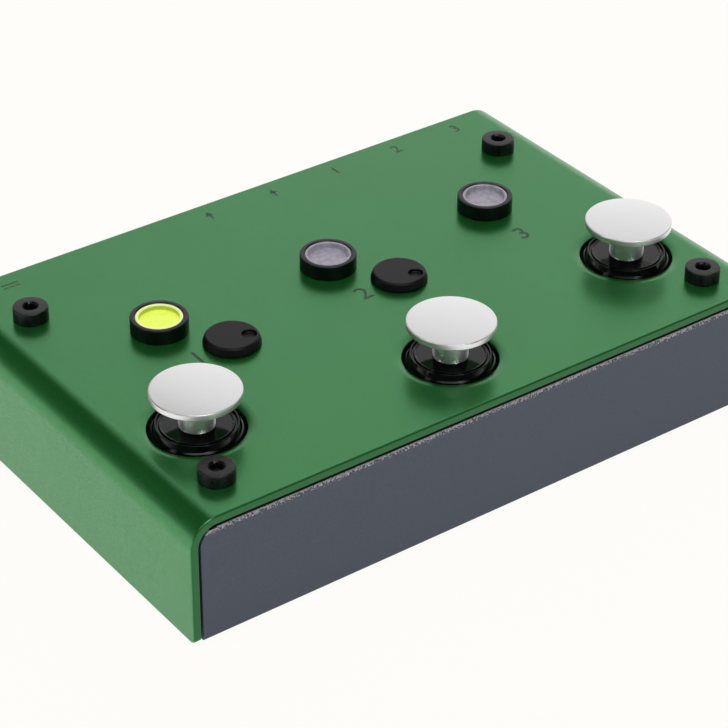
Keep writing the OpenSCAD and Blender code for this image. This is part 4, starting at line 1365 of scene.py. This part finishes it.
@dataclass
class PrintedMarks(Assembly):
    """Plain figures and signs printed on the cover."""

    thickness: float = 0.03
    row: float = 47.4

    def build(self) -> None:
        """Prints the lamps' and inputs' numbers, the outputs' arrows and the direct current sign."""
        marks = [Mark(str(i), x, y, 7.5) for i, x, y in ((1, -48.5, -6.0), (2, -0.3, -5.9), (3, 49.0, -6.1))]
        sockets = [rear_axis(f"jack_socket_{i}").x / MM for i in JACKS]
        marks += [Mark(str(i + 1), x, self.row, 5.0) for i, x in enumerate(sockets[2:])]
        parts = [self.figure(mark) for mark in marks]
        for x in sockets[:2]:
            parts.append(self.arrow(x))
        inlet = rear_axis("power_inlet").x / MM
        parts.append(self.bar(inlet - 2, self.row + 0.8, 4.4))
        parts += [self.bar(inlet - 2 + shift, self.row - 0.6, 1.1) for shift in (-1.65, 0, 1.65)]
        bm = joined(parts)
        shifted(bm, (0, 0, COVER_TOP))
        self.add("printed_marks", bm, INK.build(), "green_paint", [])

    def figure(self, mark: Mark) -> Mesh:
        """Makes one thin printed figure.

        Args:
            mark: What it says, and where.

        Returns:
            Its mesh on z = 0.
        """
        curve = bpy.data.curves.new("figure", "FONT")
        curve.body, curve.size, curve.align_x, curve.align_y = mark.text, mark.size * MM, "CENTER", "CENTER"
        curve.extrude = self.thickness * MM / 2
        text = bpy.data.objects.new("figure", curve)
        bpy.context.scene.collection.objects.link(text)
        mesh = bpy.data.meshes.new_from_object(text.evaluated_get(bpy.context.evaluated_depsgraph_get()))
        bm = bmesh.new()
        bm.from_mesh(mesh)
        bpy.data.meshes.remove(mesh)
        bpy.data.objects.remove(text)
        bpy.data.curves.remove(curve)
        bmesh.ops.remove_doubles(bm, verts=bm.verts[:], dist=WELD)
        return moved(bm, mark.x, mark.y, self.thickness / 2)

    def bar(self, x: float, y: float, width: float) -> Mesh:
        """Makes a printed stroke at a place, in millimetres."""
        return moved(brick(width, 0.4, self.thickness, 0.01), x, y, 0)

    def arrow(self, x: float) -> Mesh:
        """Makes an arrow towards the back edge.

        Args:
            x: Place across the cover in millimetres.

        Returns:
            Its mesh on z = 0.
        """
        thick = self.thickness
        head = turned(rod(1.3, 0, thick, steps=3))
        shaft = moved(brick(0.4, 2.0, thick, 0.01), 0, -1.4, 0)
        return moved(joined([head, shaft]), x, self.row + 0.5, 0)


@dataclass
class InnerParts(Assembly):
    """Finishes of the parts inside the case, which keep their construction shapes."""

    def build(self) -> None:
        """Gives each kept node its finish and rounds the transformer's winding."""
        finishes: dict[str, Finish] = {
            "rivet_nuts": ZINC, "tactile_switches": BLACK_NYLON, "lamp_nuts": ZINC, "jack_blades": BRASS,
            "main_board": SOLDER_MASK, "board_posts": ZINC, "board_screws": ZINC, "relays": RELAY_PLASTIC,
            "chips": BLACK_NYLON, "capacitors": SLEEVE, "transformer_core": CORE_STEEL,
            "regulator": BLACK_NYLON,
        }
        for word, finish, numbers in (
            ("plunger", ACETAL, SWITCHES), ("switch_tower", BLACK_NYLON, SWITCHES), (
                "pot_shaft", NICKEL, KNOBS
            ),
            ("pot_case", POT_PLASTIC, KNOBS),
        ):
            finishes |= {f"{word}_{i}": finish for i in numbers}
        for node, finish in finishes.items():
            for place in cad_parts[node].material_slots:
                place.material = finish.build()
        log.info("inner parts: %d nodes dressed", len(finishes))
        low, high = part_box("transformer_winding")
        size = (high - low) / MM
        bm = brick(size.x, size.y, size.z, 1.6)
        middle = (low + high) / 2
        shifted(bm, (middle.x, middle.y, low.z))
        self.add("wire_winding", bm, WINDING.build(), "copper", ["transformer_winding"])


@dataclass(frozen=True)
class Glare:
    """Soft bright field in the studio's sky.

    Attributes:
        azimuth: Direction of its middle, in degrees from +Y towards +X.
        elevation: Degrees above the floor.
        inner: Degrees from its middle at which it starts to fade.
        outer: Degrees from its middle at which it has faded.
        level: Radiance that it adds at its middle.
    """

    azimuth: float
    elevation: float
    inner: float
    outer: float
    level: float

    def add(
        self, tree: Tree, direction: Socket, base: Socket
    ) -> Socket:
        """Adds the field to the sky.

        Args:
            tree: The world's nodes.
            direction: Direction into the sky.
            base: Radiance without this field.

        Returns:
            Socket of the radiance with it.
        """
        turn, lift = math.radians(self.azimuth), math.radians(self.elevation)
        middle = (math.sin(turn) * math.cos(lift), math.cos(turn) * math.cos(lift), math.sin(lift))
        near = add_node(tree, "VectorMath", {"operation": "DOT_PRODUCT", 1: middle}, {0: direction})
        share = add_node(
            tree, "MapRange",
            {"interpolation_type": "SMOOTHSTEP", "From Min": math.cos(math.radians(self.outer)),
             "From Max": math.cos(math.radians(self.inner)), "To Max": self.level},
            {"Value": near.outputs["Value"]},
        )
        return add_node(tree, "Math", {"operation": "ADD"}, {0: base, 1: share.outputs[0]}).outputs[0]


@dataclass
class Studio:
    """Camera, floor and sky.

    Attributes:
        camera_place: Place of the camera in metres.
        target: Point that it looks at.
        roll: Degrees by which it is tilted.
        lens: Focal length in millimetres.
        sensor: Width of its sensor in millimetres.
        background: Colour of the backdrop.
        paper: Colour of the floor's paper.
        footprint: Half width and half depth of the case in metres.
        floor_seen: Strength of the floor's light where the backdrop is seen.
        floor_share: Share of that light; the rest keeps the shadow.
        floor_glow_with_painted_shadow: Strength for the other rays, at the case and far from it; the lower
            strength at the case is painted shadow.
        painted_shadow_reach: Distance from the case in metres at which it is at its far value, where the
            painted shadow ends.
        backdrop_top: Height in the sky up to which gloss fades from the backdrop to the dark ceiling.
        heights: Levels of the sky by height.
        facing: Direction from the camera's side to the far side.
        facing_range: Where along that direction the sky starts and stops to brighten.
        near_share: Share of the sky's level on the camera's side.
        fields: Soft bright fields.
    """

    camera_place: tuple[float, float, float] = (-0.32288, -0.44288, 0.37407)
    target: tuple[float, float, float] = (-0.0185, -0.03075, 0.033566)
    roll: float = 0.4
    lens: float = 130.38
    sensor: float = 36.0
    background: str = "#fffefa"
    paper: str = "#f4f3f0"
    footprint: tuple[float, float] = (0.086, 0.0565)
    floor_seen: float = 1.03
    floor_share: float = 0.93
    floor_glow_with_painted_shadow: tuple[float, float] = (0.7, 1.25)
    painted_shadow_reach: float = 0.05
    backdrop_top: float = 0.12
    heights: tuple[tuple[float, float], ...] = (
        (0.0, 0.92), (0.13, 0.32), (0.36, 0.06), (0.52, 0.015), (1.0, 0.015)
    )
    facing: tuple[float, float, float] = (0.6, 0.8, 0.0)
    facing_range: tuple[float, float] = (-0.35, 0.2)
    near_share: float = 0.25
    fields: tuple[Glare, ...] = (
        Glare(47.0, 27.0, 17.0, 40.0, 0.86), Glare(200.0, 76.0, 8.0, 26.0, 2.1),
        Glare(182.0, 52.0, 3.0, 8.0, 11.0), Glare(290.0, 52.0, 3.0, 8.0, 11.0),
    )

    def build(self) -> None:
        """Sets up the whole studio."""
        self.camera()
        self.floor()
        self.sky()
        bpy.context.scene.view_settings.view_transform = "Standard"
        log.info("studio: camera, floor and a sky with %d fields", len(self.fields))

    def camera(self) -> None:
        """Places the camera where the photograph was taken from."""
        data = bpy.data.cameras.new("camera")
        data.lens, data.sensor_width, data.sensor_fit = self.lens, self.sensor, "HORIZONTAL"
        data.clip_start, data.clip_end = 0.01, 100
        camera = bpy.data.objects.new("camera", data)
        bpy.context.scene.collection.objects.link(camera)
        place, target = Vector(self.camera_place), Vector(self.target)
        back = (place - target).normalized()
        right = Vector((0, 0, 1)).cross(back).normalized()
        up = back.cross(right)
        turn = math.radians(self.roll)
        right, up = right * math.cos(turn) + up * math.sin(turn), up * math.cos(turn) - right * math.sin(turn)
        rotation = Matrix((right, up, back)).transposed().to_4x4()
        camera.matrix_world = Matrix.Translation(place) @ rotation
        bpy.context.scene.camera = camera

    def floor(self) -> None:
        """Lays a pale floor that keeps the pedal's soft shadow, and paints shadow round the case into the
        light that it sheds on the pedal.
        """
        bm = bmesh.new()
        bmesh.ops.create_grid(bm, x_segments=2, y_segments=2, size=6)
        mesh = bpy.data.meshes.new("floor")
        bm.to_mesh(mesh)
        bm.free()
        floor = bpy.data.objects.new("floor", mesh)
        bpy.context.scene.collection.objects.link(floor)
        material = bpy.data.materials.new("white studio paper")
        material.use_nodes = True
        tree = material.node_tree
        shader = tree.nodes["Principled BSDF"]
        shader.inputs["Base Color"].default_value = linear(self.paper)
        shader.inputs["Roughness"].default_value = 0.9
        shader.inputs["Specular IOR Level"].default_value = 0.1
        coordinates = add_node(tree, "TexCoord")
        spread = add_node(
            tree, "VectorMath", {"operation": "ABSOLUTE"}, {0: coordinates.outputs["Object"]}
        )
        beyond = {"operation": "SUBTRACT", 1: (*self.footprint, 0)}
        outside = add_node(tree, "VectorMath", beyond, {0: spread.outputs[0]})
        parts = add_node(tree, "SeparateXYZ", None, {0: outside.outputs[0]})
        away = add_node(
            tree, "Math", {"operation": "MAXIMUM"}, {0: parts.outputs["X"], 1: parts.outputs["Y"]}
        )
        # Painted shadow: the floor glows less near the case for all but camera, glossy and transmission rays
        near, far = self.floor_glow_with_painted_shadow
        glow = add_node(
            tree, "MapRange", {"From Max": self.painted_shadow_reach, "To Min": near, "To Max": far},
            {"Value": away.outputs[0]},
        )
        strength = add_node(
            tree, "Mix", {3: self.floor_seen}, {0: backdrop_seen(tree), 2: glow.outputs[0]}
        )
        glow = add_node(
            tree, "Emission", {"Color": linear(self.background)}, {"Strength": strength.outputs[0]}
        )
        mix = add_node(
            tree, "MixShader", {0: self.floor_share}, {1: shader.outputs[0], 2: glow.outputs[0]}
        )
        tree.links.new(mix.outputs[0], tree.nodes["Material Output"].inputs["Surface"])
        mesh.materials.append(material)

    def sky(self) -> None:
        """Makes a sky that is pale at the horizon and dark above, and white where the backdrop is seen."""
        world = bpy.data.worlds.new("studio")
        world.use_nodes = True
        bpy.context.scene.world = world
        tree = world.node_tree
        direction = add_node(tree, "TexCoord").outputs["Generated"]
        height = add_node(tree, "SeparateXYZ", None, {0: direction}).outputs["Z"]
        ramp = add_node(tree, "ValToRGB", None, {0: height})
        elements = ramp.color_ramp.elements
        for k, (step, level) in enumerate(self.heights):
            element = elements[k] if k < 2 else elements.new(step)
            element.position, element.color = step, (level, level, level, 1)
        side = add_node(
            tree, "VectorMath", {"operation": "DOT_PRODUCT", 1: self.facing}, {0: direction}
        )
        start, end = self.facing_range
        share = add_node(
            tree, "MapRange", {"From Min": start, "From Max": end, "To Min": self.near_share},
            {"Value": side.outputs["Value"]},
        )
        dimmed = add_node(
            tree, "VectorMath", {"operation": "SCALE"}, {0: ramp.outputs[0], "Scale": share.outputs[0]}
        )
        radiance = dimmed.outputs[0]
        for glare in self.fields:
            radiance = glare.add(tree, direction, radiance)
        low = add_node(
            tree, "MapRange", {"From Max": self.backdrop_top, "To Min": 1.0, "To Max": 0.0},
            {"Value": height},
        )
        mix = add_node(
            tree, "Mix", {"data_type": "RGBA", 7: linear(self.background)},
            {0: backdrop_seen(tree, low.outputs[0]), 6: radiance},
        )
        tree.links.new(mix.outputs[2], tree.nodes["Background"].inputs["Color"])


def main() -> None:
    """Builds the pedal's sub-assemblies in order and sets up the studio."""
    logging.basicConfig(level=logging.INFO, format="%(name)s %(message)s")
    Studio().build()
    Case().build()
    CoverScrews().build()
    for number in SWITCHES:
        FootSwitch(number=number).build()
        Lamp(number=number, lit=number == 1).build()
    Reflectors().build()
    for number, pointer in zip(KNOBS, (-29.0, -49.0)):
        GainKnob(body=f"gain_control_{number}", number=number, pointer=pointer).build()
    RearJacks().build()
    PowerInlet().build()
    PrintedMarks().build()
    InnerParts().build()


if __name__ == "__main__":
    main()
